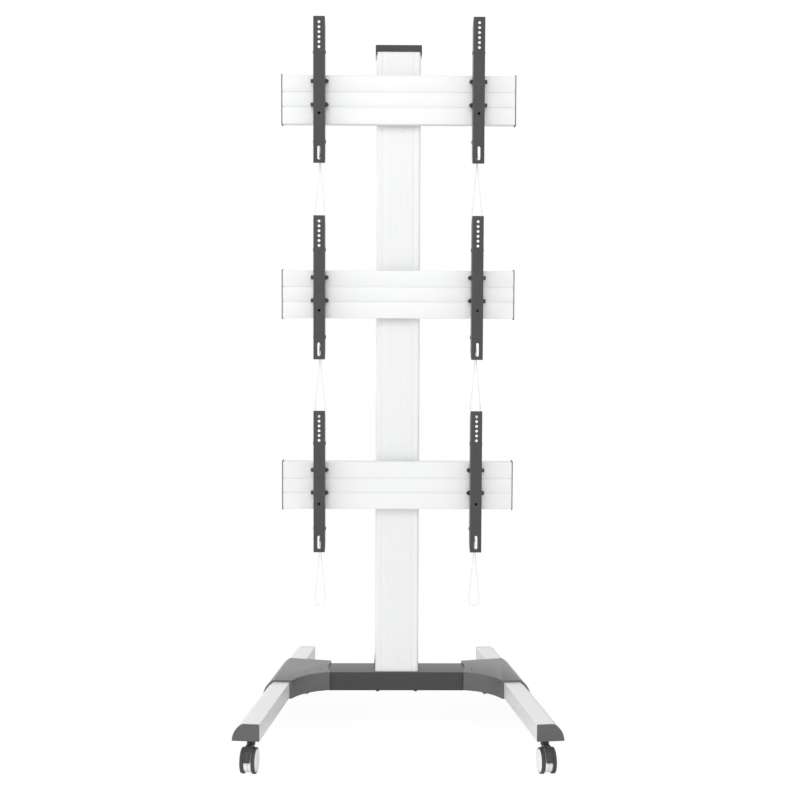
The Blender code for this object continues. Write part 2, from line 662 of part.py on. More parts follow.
def build_rails():
    body_half = RAIL_HALF_LENGTH - RAIL_CAP
    rail = extrusion("rail", [rail_outline(), rail_chamber()], 2 * body_half, sideways(-body_half))
    rear = RAIL_FRONT + RAIL_DEPTH
    tall = RAIL_HEIGHT / 2 + RAIL_CAP_PROUD
    rim = box_outline(RAIL_FRONT - RAIL_CAP_RIM, -tall, rear + RAIL_CAP_RIM, tall, RAIL_CAP_PROUD, 2)
    for start in (-RAIL_HALF_LENGTH, body_half - SINK):
        rail = joined(rail, extrusion("end cap", [rim], RAIL_CAP + SINK, sideways(start)))
    back = COLUMN_FRONT - GAP
    seated = COLUMN_FRONT + COLUMN_GROOVE_DEPTH - GAP
    rib = COLUMN_GROOVE_WIDTH / 2 - GROOVE_DRAFT - GAP
    half = CLAMP_WIDTH / 2
    ribs = []
    for x in (COLUMN_GROOVE_X, -COLUMN_GROOVE_X):
        ribs += [(x + rib, back), (x + rib, seated), (x - rib, seated), (x - rib, back)]
    plate = [(-half, rear - SINK), (half, rear - SINK), (half, back), *ribs, (-half, back)]
    rail = joined(rail, extrusion("clamp", [plate], CLAMP_HEIGHT, upward(z=-CLAMP_HEIGHT / 2)))
    for row, label in enumerate(ROWS):
        height = ARM_TOP - RAIL_BELOW_ARM_TOP - ROW_PITCH * row
        repeat(rail, "rail_" + label, "silver", Matrix.Translation((0, ORIGIN_Y, height)), smooth=radians(25))
    bpy.data.objects.remove(rail)


# Arms, carriers, latches and cords, modelled with the arm's top end at Z = 0 and its centre line at X = 0

def arm_shape():
    half, inner = ARM_WIDTH / 2, ARM_WIDTH / 2 - ARM_SHEET
    channel = ([(half, ARM_DEPTH), (inner, ARM_DEPTH), (inner, ARM_SHEET), (-inner, ARM_SHEET),
                (-inner, ARM_DEPTH), (-half, ARM_DEPTH)]
               + arc(-half + ARM_BEND, ARM_BEND, ARM_BEND, pi, pi * 1.5, 2)
               + arc(half - ARM_BEND, ARM_BEND, ARM_BEND, -pi / 2, 0, 2))
    arm = extrusion("arm", [channel], ARM_LENGTH, upward(z=-ARM_LENGTH))
    for end, inward in ((0, -1), (-ARM_LENGTH, 1)):
        past, taper = end - inward * MARGIN, end + inward * ARM_TAPER
        corner = [(ARM_END_DEPTH, end), (ARM_END_DEPTH, past), (ARM_DEPTH + MARGIN, past),
                  (ARM_DEPTH + MARGIN, taper), (ARM_DEPTH, taper)]
        arm = cut(arm, extrusion("end corner", [corner], 2 * ARM_WIDTH, sideways(-ARM_WIDTH)))
    holes = [circle(0, -HOLE_FIRST - HOLE_PITCH * i, HOLE_RADIUS, 8) for i in range(HOLE_COUNT)]
    holes += [circle(0, -HOLE_MIDDLE, HOLE_RADIUS, 8), stadium(0, -SLOT_END, -SLOT_START, SLOT_WIDTH / 2, 4)]
    arm = cut(arm, extrusion("front holes", holes, 2 * MARGIN, rearward(y=-MARGIN)))
    round_hole = BOLT_RADIUS + BOLT_PLAY
    slot_end = TILT_SLOT + round_hole
    level = [(BOLT_Y + y, -GUIDE_BOLT + z) for z, y in stadium(0, -slot_end, slot_end, round_hole, 4)]
    side_holes = [circle(BOLT_Y, -PIVOT_BOLT, round_hole, 8), level]
    return cut(arm, extrusion("side holes", side_holes, 2 * ARM_WIDTH, sideways(-ARM_WIDTH)))


def carrier_channel():
    """The channel inside the arm, and the hook that hangs on the rail's upper groove."""
    rail_top = -RAIL_BELOW_ARM_TOP + RAIL_HEIGHT / 2
    outer = ARM_WIDTH / 2 - ARM_SHEET - GAP
    inner = outer - CHEEK
    back = CARRIER_BACK + CARRIER_PLATE
    section = [(-outer, CHEEK_FRONT), (-inner, CHEEK_FRONT), (-inner, CARRIER_BACK), (inner, CARRIER_BACK),
               (inner, CHEEK_FRONT), (outer, CHEEK_FRONT), (outer, back), (-outer, back)]
    channel = extrusion("carrier", [section], RAIL_HEIGHT - 2 * CARRIER_INSET,
                        upward(z=rail_top - RAIL_HEIGHT + CARRIER_INSET))
    plate_front, plate_rear = CARRIER_BACK + SINK, back - SINK
    tongue_front = RAIL_GROOVE_FRONT + TONGUE_PLAY
    tongue_rear = RAIL_GROOVE_FRONT + RAIL_GROOVE_WIDTH - TONGUE_PLAY
    root, shelf, tip = rail_top - HOOK_ROOT, rail_top + GAP, rail_top - HOOK_REACH
    hook = [(plate_front, root), (plate_rear, root), (plate_rear, shelf), (tongue_front, shelf),
            (tongue_front, tip), (tongue_rear, tip), (tongue_rear, shelf + HOOK_PLATE),
            (plate_front, shelf + HOOK_PLATE)]
    return joined(channel, extrusion("hook", [hook], HOOK_WIDTH, sideways(-HOOK_WIDTH / 2)))


def carrier_shape():
    """A carrier with its latch guide below and its two bolts, whose heads stand outside the arm."""
    carrier = carrier_channel()
    rail_bottom = -RAIL_BELOW_ARM_TOP - RAIL_HEIGHT / 2
    wide = GUIDE_HALF_WIDTH + GUIDE_WALL
    slit = GUIDE_HALF_WIDTH - GUIDE_LIP
    lip = LATCH_FRONT + LATCH_PLATE + GUIDE_PLAY
    back = CARRIER_BACK + CARRIER_PLATE
    half = [(wide, CARRIER_BACK), (wide, lip + GUIDE_WALL), (slit, lip + GUIDE_WALL), (slit, lip),
            (GUIDE_HALF_WIDTH, lip), (GUIDE_HALF_WIDTH, back)]
    guide = half + [(-x, y) for x, y in reversed(half)]
    top = rail_bottom - LATCH_REST - LATCH_PLATE - LATCH_TRAVEL - LATCH_CLEARANCE
    carrier = joined(carrier, extrusion("guide", [guide], GUIDE_LENGTH, upward(z=top - GUIDE_LENGTH)))
    strap = box_outline(SINK - wide, CARRIER_BACK + SINK, wide - SINK, back - SINK)
    foot = top - STRAP_OVERLAP
    strap_length = rail_bottom + 2 * CARRIER_INSET - foot
    carrier = joined(carrier, extrusion("strap", [strap], strap_length, upward(z=foot)))
    head = ARM_WIDTH / 2 + GAP
    bolt = [(0, BOLT_HALF_LENGTH), (BOLT_HEAD_RADIUS, BOLT_HALF_LENGTH), (BOLT_HEAD_RADIUS, head),
            (BOLT_RADIUS, head), (BOLT_RADIUS, -head), (BOLT_HEAD_RADIUS, -head),
            (BOLT_HEAD_RADIUS, -BOLT_HALF_LENGTH), (0, -BOLT_HALF_LENGTH)]
    for drop in (PIVOT_BOLT, GUIDE_BOLT):
        carrier = joined(carrier, turned("bolt", bolt, 8, sideways(0, BOLT_Y, -drop)))
    return carrier


def latch_shape():
    """A latch, whose tongue catches the rail's lower groove, with its pull wire and crimped ferrule."""
    rail_bottom = -RAIL_BELOW_ARM_TOP - RAIL_HEIGHT / 2
    shelf = rail_bottom - LATCH_REST
    tongue_top = rail_bottom + HOOK_REACH
    tongue_front = RAIL_GROOVE_FRONT + TONGUE_PLAY
    tongue_rear = RAIL_GROOVE_FRONT + RAIL_GROOVE_WIDTH - TONGUE_PLAY
    side = [(LATCH_FRONT, shelf), (LATCH_FRONT, -LATCH_END), (LATCH_FRONT + LATCH_PLATE, -LATCH_END),
            (LATCH_FRONT + LATCH_PLATE, shelf - LATCH_PLATE), (tongue_rear, shelf - LATCH_PLATE),
            (tongue_rear, tongue_top), (tongue_front, tongue_top), (tongue_front, shelf)]
    latch = extrusion("latch", [side], LATCH_WIDTH, sideways(-LATCH_WIDTH / 2))
    wire = [(0, -WIRE_START), (WIRE_RADIUS, -WIRE_START), (WIRE_RADIUS, -FERRULE_START),
            (FERRULE_RADIUS, -FERRULE_START), (FERRULE_RADIUS, -FERRULE_END), (0, -FERRULE_END)]
    return joined(latch, turned("pull wire", wire, 8, upward(y=LATCH_FRONT + LATCH_PLATE / 2)))


def smooth_route(points, count):
    """Evenly spread points on one smooth curve through the given ones."""
    ends = [2 * points[0] - points[1]] + points + [2 * points[-1] - points[-2]]
    fine = []
    for a, b, c, d in zip(ends, ends[1:], ends[2:], ends[3:]):
        for i in range(24):
            s = i / 24
            fine.append(0.5 * (2 * b + (c - a) * s + (2 * a - 5 * b + 4 * c - d) * s * s
                               + (3 * b - a - 3 * c + d) * s ** 3))
    fine.append(points[-1])
    travelled = [0.0]
    for a, b in zip(fine, fine[1:]):
        travelled.append(travelled[-1] + (b - a).length)
    route, k = [], 0
    for i in range(count):
        goal = travelled[-1] * i / (count - 1)
        while travelled[k + 1] < goal and k < len(fine) - 2:
            k += 1
        share = (goal - travelled[k]) / (travelled[k + 1] - travelled[k])
        route.append(fine[k].lerp(fine[k + 1], share))
    return route


def cord_object(name):
    """A loop of cord that hangs from the ferrule under its own weight."""
    side = [Vector((x * mm, LATCH_FRONT + LATCH_PLATE / 2, -z * mm)) for x, z in CORD_SIDE]
    bottom = Vector((0, LATCH_FRONT + LATCH_PLATE / 2, -CORD_BOTTOM * mm))
    other = [Vector((-point.x, point.y, point.z)) for point in reversed(side)]
    route = smooth_route(side + [bottom] + other, CORD_POINTS)
    curve = bpy.data.curves.new(name, "CURVE")
    curve.dimensions = "3D"
    curve.bevel_depth = CORD_DIAMETER / 2
    curve.bevel_resolution = 2
    curve.use_fill_caps = True
    spline = curve.splines.new("POLY")
    spline.points.add(len(route) - 1)
    for point, spot in zip(spline.points, route):
        point.co = (*spot, 1)
    return bpy.data.objects.new(name, curve)


def build_arms():
    arm, carrier, latch = arm_shape(), carrier_shape(), latch_shape()
    pivot = Vector((0, BOLT_Y, -PIVOT_BOLT))
    arm.data.transform(Matrix.Translation(-pivot))
    for row, height in enumerate(ROWS):
        for label, side in SIDES:
            spot = Vector((side * ARM_X, ORIGIN_Y, ARM_TOP - ROW_PITCH * row))
            suffix = "_%s_%s" % (height, label)
            here = Matrix.Translation(spot)
            hung = repeat(carrier, "carrier" + suffix, "arm_grey", here, smooth=radians(30))
            repeat(arm, "arm" + suffix, "arm_grey", Matrix.Translation(spot + pivot), hung, radians(30))
            caught = repeat(latch, "latch" + suffix, "zinc", here, hung, radians(30))
            cord = cord_object("pull_cord" + suffix)
            cord.matrix_world = here
            finish(cord, "cord_white", caught, None)
    for shape in (arm, carrier, latch):
        bpy.data.objects.remove(shape)


# Casters

def hood_point(radius, turn):
    """A point on a circle about the axle; the turn is counted upwards from straight ahead."""
    return -TRAIL - radius * cos(turn), WHEEL_RADIUS + radius * sin(turn)


def hood_arc(radius, start, end, steps):
    return [hood_point(radius, start + (end - start) * i / steps) for i in range(steps + 1)]


def hood_band(start, end, steps):
    return hood_arc(HOOD_OUTER, start, end, steps) + hood_arc(HOOD_INNER, end, start, steps)


def caster_body_shape():
    """The hood over both wheels, with the pedal's well, the web down to the axle and the stem's boss."""
    body = extrusion("hood", [hood_band(HOOD_FRONT, HOOD_REAR, 11)], HOOD_WIDTH, sideways(-HOOD_WIDTH / 2))
    well_half = PEDAL_WIDTH / 2 + PEDAL_PLAY
    well_end = PEDAL_TOP + PEDAL_PLAY / HOOD_INNER
    well = hood_arc(HOOD_OUTER + MARGIN, 0, well_end, 3) + hood_arc(HOOD_INNER - MARGIN, well_end, 0, 3)
    body = cut(body, extrusion("pedal well", [well], 2 * well_half, sideways(-well_half)))
    hinge = hood_point((HOOD_INNER + HOOD_OUTER) / 2, PEDAL_HINGE)
    body = cut(body, rod("pin hole", PEDAL_PIN_RADIUS + GAP, (-HOOD_WIDTH, *hinge), (HOOD_WIDTH, *hinge), 8))
    hub = hood_arc(WEB_HUB, radians(200), radians(378), 5)
    rim = hood_arc(HOOD_INNER + 4 * SINK, well_end + radians(2), HOOD_REAR - radians(1), 10)
    body = joined(body, extrusion("web", [rim + hub], WEB_PLATE, sideways(-WEB_PLATE / 2)))
    body = joined(body, rod("boss", BOSS_RADIUS, (0, 0, BOSS_BOTTOM), (0, 0, BOSS_TOP)))
    socket_floor, above = (0, 0, BOSS_BOTTOM + SOCKET_FLOOR), (0, 0, BOSS_TOP + MARGIN)
    body = cut(body, rod("stem socket", STEM_RADIUS + GAP, socket_floor, above))
    ends = [(x, -TRAIL, WHEEL_RADIUS) for x in (-AXLE_HALF_LENGTH, AXLE_HALF_LENGTH)]
    return joined(body, rod("axle", AXLE_RADIUS, *ends, 8))


def pedal_shape(hinge):
    band = hood_band(HOOD_FRONT, PEDAL_TOP - PEDAL_PLAY / HOOD_INNER, 4)
    pedal = extrusion("pedal", [band], PEDAL_WIDTH, sideways(-PEDAL_WIDTH / 2))
    ends = [(x, *hinge) for x in (SINK - HOOD_WIDTH / 2, HOOD_WIDTH / 2 - SINK)]
    return joined(pedal, rod("pin", PEDAL_PIN_RADIUS, *ends, 8))


def wheel_shape():
    """One wheel, turned about the axle, with its outer side towards +X."""
    bore = AXLE_RADIUS + SINK
    blind = AXLE_HALF_LENGTH + SINK
    shoulder, chamfer = WHEEL_RADIUS - TYRE_SHOULDER[0], TYRE_SHOULDER[1]
    profile = [(0, TYRE_OUTER + DISC_CROWN), (shoulder, TYRE_OUTER), (WHEEL_RADIUS, TYRE_OUTER - chamfer),
               (WHEEL_RADIUS, TYRE_INNER + chamfer), (shoulder, TYRE_INNER), (DRUM_RADIUS, TYRE_INNER),
               (DRUM_RADIUS, DRUM_INNER), (bore, DRUM_INNER), (bore, blind), (0, blind)]
    stand_up = Matrix(((0, 0, 1, 0), (0, 1, 0, 0), (-1, 0, 0, 0), (0, 0, 0, 1)))
    return turned("wheel", profile, 16, stand_up)


def stem_shape():
    top, seat, end = LEG_BOTTOM + STEM_RISE, LEG_BOTTOM - GAP, BOSS_BOTTOM + SOCKET_FLOOR + 2 * SINK
    profile = [(0, top), (STEM_RADIUS, top), (STEM_RADIUS, seat), (COLLAR_RADIUS, seat),
               (COLLAR_RADIUS, COLLAR_BOTTOM), (STEM_RADIUS, COLLAR_BOTTOM), (STEM_RADIUS, end), (0, end)]
    return turned("stem", profile, 12, Matrix())


def build_casters():
    hinge = Vector((0, *hood_point((HOOD_INNER + HOOD_OUTER) / 2, PEDAL_HINGE)))
    body, pedal, wheel, stem = caster_body_shape(), pedal_shape(hinge.yz), wheel_shape(), stem_shape()
    pedal.data.transform(Matrix.Translation(-hinge))
    for label, side, rear in CORNERS:
        along = LEG_LENGTH - STEM_FROM_END if rear else STEM_FROM_END
        x, y = leg_point(side, STEM_INSET, along)
        here = Matrix.Translation((x, y, 0)) @ Matrix.Rotation(side * LEG_SPLAY, 4, "Z")
        repeat(stem, "caster_stem_" + label, "stem_black", here, smooth=radians(30))
        fork = repeat(body, "caster_body_" + label, "caster_grey", here, smooth=radians(30))
        pin = here @ Matrix.Translation(hinge)
        repeat(pedal, "brake_pedal_" + label, "caster_grey", pin, fork, radians(30))
        hub = here @ Matrix.Translation((0, -TRAIL, WHEEL_RADIUS))
        for wheel_name, turn in (("a", pi), ("b", 0)):
            repeat(wheel, "caster_wheel_%s_%s" % (label, wheel_name), "wheel_grey",
                   hub @ Matrix.Rotation(turn, 4, "Z"), fork, radians(30))
    for shape in (body, pedal, wheel, stem):
        bpy.data.objects.remove(shape)


clear_scene()
stand = collection("video_wall_floor_stand")
cutters = collection("cutters")
workshop = collection("workshop")
bpy.context.view_layer.active_layer_collection = bpy.context.view_layer.layer_collection.children["workshop"]

build_legs()
build_brackets()
build_beam()
build_column()
build_column_cap()
build_foot()
build_rails()
build_arms()
build_casters()
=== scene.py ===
import json
from math import acos, asin, atan2, cos, pi, radians, sin, sqrt

import bmesh
import bpy
from mathutils import Matrix, Vector


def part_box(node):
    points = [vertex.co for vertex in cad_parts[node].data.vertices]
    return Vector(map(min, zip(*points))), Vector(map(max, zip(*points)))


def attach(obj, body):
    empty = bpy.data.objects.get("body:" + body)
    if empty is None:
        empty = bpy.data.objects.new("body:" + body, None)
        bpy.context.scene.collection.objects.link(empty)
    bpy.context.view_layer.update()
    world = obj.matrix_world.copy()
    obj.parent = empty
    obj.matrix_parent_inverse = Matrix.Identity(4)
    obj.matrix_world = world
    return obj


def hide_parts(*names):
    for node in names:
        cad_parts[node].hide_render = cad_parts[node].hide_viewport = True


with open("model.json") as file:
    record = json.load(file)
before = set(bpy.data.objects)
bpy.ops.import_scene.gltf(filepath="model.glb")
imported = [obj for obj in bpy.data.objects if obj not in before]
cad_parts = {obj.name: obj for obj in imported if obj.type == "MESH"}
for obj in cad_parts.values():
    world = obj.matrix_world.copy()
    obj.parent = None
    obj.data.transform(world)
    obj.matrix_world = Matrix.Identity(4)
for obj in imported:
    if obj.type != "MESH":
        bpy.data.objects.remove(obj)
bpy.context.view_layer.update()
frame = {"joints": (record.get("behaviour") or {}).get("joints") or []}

mm = 0.001
past = 10 * mm              # how far a cutter reaches past what it cuts
sides = {"Left": -1, "Right": 1}
rows = ("Top", "Middle", "Bottom")
corners = ("FrontLeft", "FrontRight", "RearLeft", "RearRight")
base = "base_frame"
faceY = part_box("arm_top_left")[0].y                      # front face of the arms
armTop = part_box("arm_top_left")[1].z
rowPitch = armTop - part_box("arm_middle_left")[1].z
armX = (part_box("arm_top_right")[0].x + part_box("arm_top_right")[1].x) / 2
railCentre = (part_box("rail_top")[0].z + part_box("rail_top")[1].z) / 2 - armTop     # from an arm's top end


def nodeName(words):        # armTopLeft is arm_top_left in the frame
    return "".join("_" + letter.lower() if letter.isupper() else letter for letter in words)


def jointSpot(name):
    return Vector(next(joint for joint in frame["joints"] if joint["name"] == name)["pos_m"])


# the camera stands where the photograph's own perspective puts it
cameraSettings = {
    "place": Vector((-45.2, -4438.6, 1357.0)) * mm,
    "lens": 64.33,          # on a 36 mm sensor
    "yaw": 0.0116,
    "pitch": 0.0710,
    "roll": 0.0038,
}


def makeCamera(s):
    camera = bpy.data.objects.new("camera", bpy.data.cameras.new("camera"))
    bpy.context.scene.collection.objects.link(camera)
    forward = Vector((sin(s["yaw"]) * cos(s["pitch"]), cos(s["yaw"]) * cos(s["pitch"]), -sin(s["pitch"])))
    right = Vector((cos(s["yaw"]), -sin(s["yaw"]), 0))
    down = forward.cross(right)
    rolledRight = cos(s["roll"]) * right - sin(s["roll"]) * down
    rolledDown = sin(s["roll"]) * right + cos(s["roll"]) * down
    camera.matrix_world = Matrix((rolledRight, -rolledDown, -forward)).transposed().to_4x4()
    camera.location = s["place"]
    camera.data.sensor_width = 36
    camera.data.lens = s["lens"]
    camera.data.clip_end = 60
    bpy.context.scene.camera = camera


makeCamera(cameraSettings)
print("camera placed")


# materials: patterns lie on Object coordinates, which are the stand's own, or on the cord's own UV map

def newMaterial(name):
    material = bpy.data.materials.new(name)
    material.use_nodes = True
    tree = material.node_tree
    return material, tree, tree.nodes["Principled BSDF"]


def addNode(tree, kind, **values):
    node = tree.nodes.new(kind)
    for key, value in values.items():
        node.inputs[key.replace("_", " ")].default_value = value
    return node


def patternSpace(tree, scale=(1, 1, 1), turn=0.0):
    place = tree.nodes.new("ShaderNodeTexCoord")
    mapping = addNode(tree, "ShaderNodeMapping", Scale=scale, Rotation=(0, 0, turn))
    mapping.vector_type = "TEXTURE" if turn else "POINT"
    tree.links.new(place.outputs["Object"], mapping.inputs["Vector"])
    return mapping.outputs["Vector"]


def noiseOn(tree, vector, scale, detail=3.0):
    noise = addNode(tree, "ShaderNodeTexNoise", Scale=scale, Detail=detail)
    tree.links.new(vector, noise.inputs["Vector"])
    return noise.outputs["Fac"]


def spread(tree, value, low, high, fromLow=0.3, fromHigh=0.7):
    node = addNode(tree, "ShaderNodeMapRange", From_Min=fromLow, From_Max=fromHigh, To_Min=low, To_Max=high)
    tree.links.new(value, node.inputs["Value"])
    return node.outputs["Result"]


def sumOf(tree, first, second, share):      # first times share, plus second
    node = tree.nodes.new("ShaderNodeMath")
    node.operation = "MULTIPLY_ADD"
    node.inputs[1].default_value = share
    tree.links.new(first, node.inputs[0])
    tree.links.new(second, node.inputs[2])
    return node.outputs["Value"]


def colourBetween(tree, factor, first, second):
    mix = tree.nodes.new("ShaderNodeMix")
    mix.data_type = "RGBA"
    colours = [socket for socket in mix.inputs if socket.type == "RGBA"]
    colours[0].default_value = (*first, 1)
    colours[1].default_value = (*second, 1)
    tree.links.new(factor, mix.inputs[0])
    return next(socket for socket in mix.outputs if socket.type == "RGBA")


def bumpFrom(tree, shader, height, strength, distance):
    bump = addNode(tree, "ShaderNodeBump", Strength=strength, Distance=distance)
    tree.links.new(height, bump.inputs["Height"])
    tree.links.new(bump.outputs["Normal"], shader.inputs["Normal"])


def tone(colour, factor):
    return tuple(min(1, channel * factor) for channel in colour)


def anodised(name, colour, along, turn=0.0):      # fine die lines run along it
    material, tree, shader = newMaterial(name)
    finest, longest, metallic, roughness = 420, 2.2, 0.22, 0.36
    stretch = [finest] * 3
    stretch[along] = longest
    if turn:
        stretch = [1 / s for s in stretch]
    lines = noiseOn(tree, patternSpace(tree, stretch, turn), 1.0, 2.0)
    cloud = noiseOn(tree, patternSpace(tree), 3.1, 2.0)
    both = sumOf(tree, lines, spread(tree, cloud, 0.0, 0.4), 0.6)
    shade = colourBetween(tree, both, tone(colour, 0.965), tone(colour, 1.02))
    tree.links.new(shade, shader.inputs["Base Color"])
    tree.links.new(spread(tree, lines, roughness - 0.04, roughness + 0.05), shader.inputs["Roughness"])
    shader.inputs["Metallic"].default_value = metallic
    bumpFrom(tree, shader, lines, 0.05, 0.0001)
    return material


def coated(name, colour, grain, roughness):     # powder coat or moulding
    material, tree, shader = newMaterial(name)
    fine = noiseOn(tree, patternSpace(tree), grain, 2.0)
    cloud = noiseOn(tree, patternSpace(tree), 9.0, 3.0)
    shade = colourBetween(tree, spread(tree, cloud, 0.0, 1.0), tone(colour, 0.94), tone(colour, 1.06))
    tree.links.new(shade, shader.inputs["Base Color"])
    tree.links.new(spread(tree, fine, roughness - 0.05, roughness + 0.06), shader.inputs["Roughness"])
    bumpFrom(tree, shader, fine, 0.1, 0.00012)
    return material


def plated(name, colour, roughness=0.35):       # turned or pressed steel
    material, tree, shader = newMaterial(name)
    cloud = noiseOn(tree, patternSpace(tree), 160.0, 3.0)
    fine = noiseOn(tree, patternSpace(tree), 1800.0, 1.0)
    shade = colourBetween(tree, spread(tree, cloud, 0.0, 1.0), tone(colour, 0.82), tone(colour, 1.12))
    tree.links.new(shade, shader.inputs["Base Color"])
    tree.links.new(spread(tree, cloud, roughness - 0.08, roughness + 0.08), shader.inputs["Roughness"])
    shader.inputs["Metallic"].default_value = 0.85
    bumpFrom(tree, shader, fine, 0.06, 0.00008)
    return material


def braided(name, colour):      # two sets of strands that cross, on the tube's own UV map
    material, tree, shader = newMaterial(name)
    uv = tree.nodes.new("ShaderNodeUVMap")
    uv.uv_map = "route"
    heights = []
    for lean in (1, -1):
        mapping = addNode(tree, "ShaderNodeMapping", Rotation=(0, 0, lean * radians(38)))
        tree.links.new(uv.outputs["UV"], mapping.inputs["Vector"])
        wave = addNode(tree, "ShaderNodeTexWave", Scale=1.9, Distortion=0.4, Detail=1.0)
        tree.links.new(mapping.outputs["Vector"], wave.inputs["Vector"])
        heights.append(wave.outputs["Fac"])
    over = tree.nodes.new("ShaderNodeMath")
    over.operation = "MAXIMUM"
    tree.links.new(heights[0], over.inputs[0])
    tree.links.new(heights[1], over.inputs[1])
    strands = over.outputs["Value"]
    # the low parts of the braid are painted darker: painted shade in the hollows between the strands
    tree.links.new(colourBetween(tree, strands, tone(colour, 0.9), colour), shader.inputs["Base Color"])
    tree.links.new(spread(tree, strands, 0.85, 0.7, 0, 1), shader.inputs["Roughness"])
    bumpFrom(tree, shader, strands, 0.4, 0.0003)
    return material


silver = (0.88, 0.885, 0.89)
legSilver = (0.82, 0.825, 0.83)
legTurn = 0.1257            # the legs' splay, for the die lines along them
looks = {                   # each with the record's slot that it is the finish of
    "columnSilver": (anodised("columnSilver", silver, 2), "column_silver"),
    "railSilver": (anodised("railSilver", (0.90, 0.905, 0.91), 0), "rail_silver"),
    "legSilverLeft": (anodised("legSilverLeft", legSilver, 1, -legTurn), "leg_silver"),
    "legSilverRight": (anodised("legSilverRight", legSilver, 1, legTurn), "leg_silver"),
    "endCapGrey": (coated("endCapGrey", (0.108, 0.108, 0.108), 1400.0, 0.5), "leg_cap_grey"),
    "columnCapGrey": (coated("columnCapGrey", (0.05, 0.05, 0.05), 1400.0, 0.42), "column_cap_grey"),
    "bracketGrey": (coated("bracketGrey", (0.12, 0.12, 0.12), 1100.0, 0.3), "bracket_grey"),
    "beamGrey": (coated("beamGrey", (0.045, 0.045, 0.046), 1000.0, 0.33), "beam_grey"),
    "armGrey": (coated("armGrey", (0.052, 0.052, 0.053), 1000.0, 0.4), "arm_grey"),
    "boltBlack": (plated("boltBlack", (0.09, 0.09, 0.092), 0.42), "arm_grey"),
    "latchZinc": (plated("latchZinc", (0.30, 0.30, 0.31)), "latch_zinc"),
    "cordWhite": (braided("cordWhite", (0.95, 0.95, 0.94)), "cord_white"),
    "casterGrey": (coated("casterGrey", (0.05, 0.05, 0.051), 1300.0, 0.4), "caster_grey"),
    "tyreGrey": (coated("tyreGrey", (0.052, 0.052, 0.053), 1500.0, 0.5), "wheel_grey"),
    "coreWhite": (coated("coreWhite", (0.92, 0.92, 0.92), 1500.0, 0.42), "wheel_grey"),
    "stemBlack": (plated("stemBlack", (0.045, 0.045, 0.046), 0.4), "stem_black"),
}
print("finishes made:", len(looks))


# shapes

def frameAt(origin, first, second, third):
    matrix = Matrix((first, second, third)).transposed().to_4x4()
    matrix.translation = origin
    return matrix


def upward(x=0.0, y=0.0, z=0.0):
    return frameAt((x, y, z), (1, 0, 0), (0, 1, 0), (0, 0, 1))


def sideways(x):        # a section in Y and Z, drawn out to the right
    return frameAt((x, 0, 0), (0, 1, 0), (0, 0, 1), (1, 0, 0))


def rearward(y, z=0.0):     # a section in X and Z, drawn out to the rear
    return frameAt((0, y, z), (1, 0, 0), (0, 0, 1), (0, 1, 0))


def pointing(origin, direction):        # Z along a direction
    return Matrix.Translation(origin) @ Vector(direction).to_track_quat("Z", "Y").to_matrix().to_4x4()


def tidied(bm):
    bmesh.ops.remove_doubles(bm, verts=bm.verts, dist=1e-6)
    bmesh.ops.recalc_face_normals(bm, faces=bm.faces)
    return bm


def prism(section, length, matrix=Matrix()):
    bm = bmesh.new()
    face = bm.faces.new([bm.verts.new((x, y, 0)) for x, y in section])
    made = bmesh.ops.extrude_face_region(bm, geom=[face])["geom"]
    bmesh.ops.translate(bm, vec=(0, 0, length), verts=[v for v in made if isinstance(v, bmesh.types.BMVert)])
    bmesh.ops.transform(bm, matrix=matrix, verts=bm.verts)
    return tidied(bm)


def spun(profile, steps, matrix=Matrix(), closed=False):      # radius and height, about Z
    bm = bmesh.new()
    spots = [bm.verts.new((radius, 0, height)) for radius, height in profile]
    edges = [bm.edges.new(pair) for pair in zip(spots, spots[1:])]
    if closed:
        edges.append(bm.edges.new((spots[-1], spots[0])))
    bmesh.ops.spin(bm, geom=spots + edges, cent=(0, 0, 0), axis=(0, 0, 1), angle=2 * pi, steps=steps,
                   use_merge=True)
    bmesh.ops.transform(bm, matrix=matrix, verts=bm.verts)
    return tidied(bm)


def looseObject(bm):
    mesh = bpy.data.meshes.new("shape")
    bm.to_mesh(mesh)
    bm.free()
    item = bpy.data.objects.new("shape", mesh)
    bpy.context.scene.collection.objects.link(item)
    return item


def combined(bm, other, operation):     # one Boolean; both shapes are used up
    item, tool = looseObject(bm), looseObject(other)
    change = item.modifiers.new("shape", "BOOLEAN")
    change.object = tool
    change.operation = operation
    change.solver = "EXACT"
    result = bmesh.new()
    result.from_object(item, bpy.context.evaluated_depsgraph_get())
    for used in (item, tool):
        mesh = used.data
        bpy.data.objects.remove(used)
        bpy.data.meshes.remove(mesh)
    return tidied(result)


def cut(bm, other):
    return combined(bm, other, "DIFFERENCE")


def welded(bm, other):
    return combined(bm, other, "UNION")


def shared(bm, other):
    return combined(bm, other, "INTERSECT")


def gathered(shapes):       # several closed shapes in one mesh
    whole = bmesh.new()
    for shape in shapes:
        mesh = bpy.data.meshes.new("step")
        shape.to_mesh(mesh)
        shape.free()
        whole.from_mesh(mesh)
        bpy.data.meshes.remove(mesh)
    return whole


def softened(bm, width, segments=2, sharp=28, where=None):      # rounds the sharp edges
    bmesh.ops.dissolve_limit(bm, angle_limit=radians(1), verts=bm.verts, edges=bm.edges)
    edges = [e for e in bm.edges if len(e.link_faces) == 2 and e.calc_face_angle(0) > radians(sharp)]
    if where:
        edges = [e for e in edges if where((e.verts[0].co + e.verts[1].co) / 2)]
    bmesh.ops.bevel(bm, geom=edges, offset=width, offset_type="OFFSET", segments=segments, profile=0.5,
                    affect="EDGES", clamp_overlap=True, material=-1)
    return tidied(bm)


def moved(bm, matrix):
    bmesh.ops.transform(bm, matrix=matrix, verts=bm.verts)
    return bm


def pattern(bm):        # a mesh that pieces are copied from
    mesh = bpy.data.meshes.new("pattern")
    bm.to_mesh(mesh)
    bm.free()
    return mesh


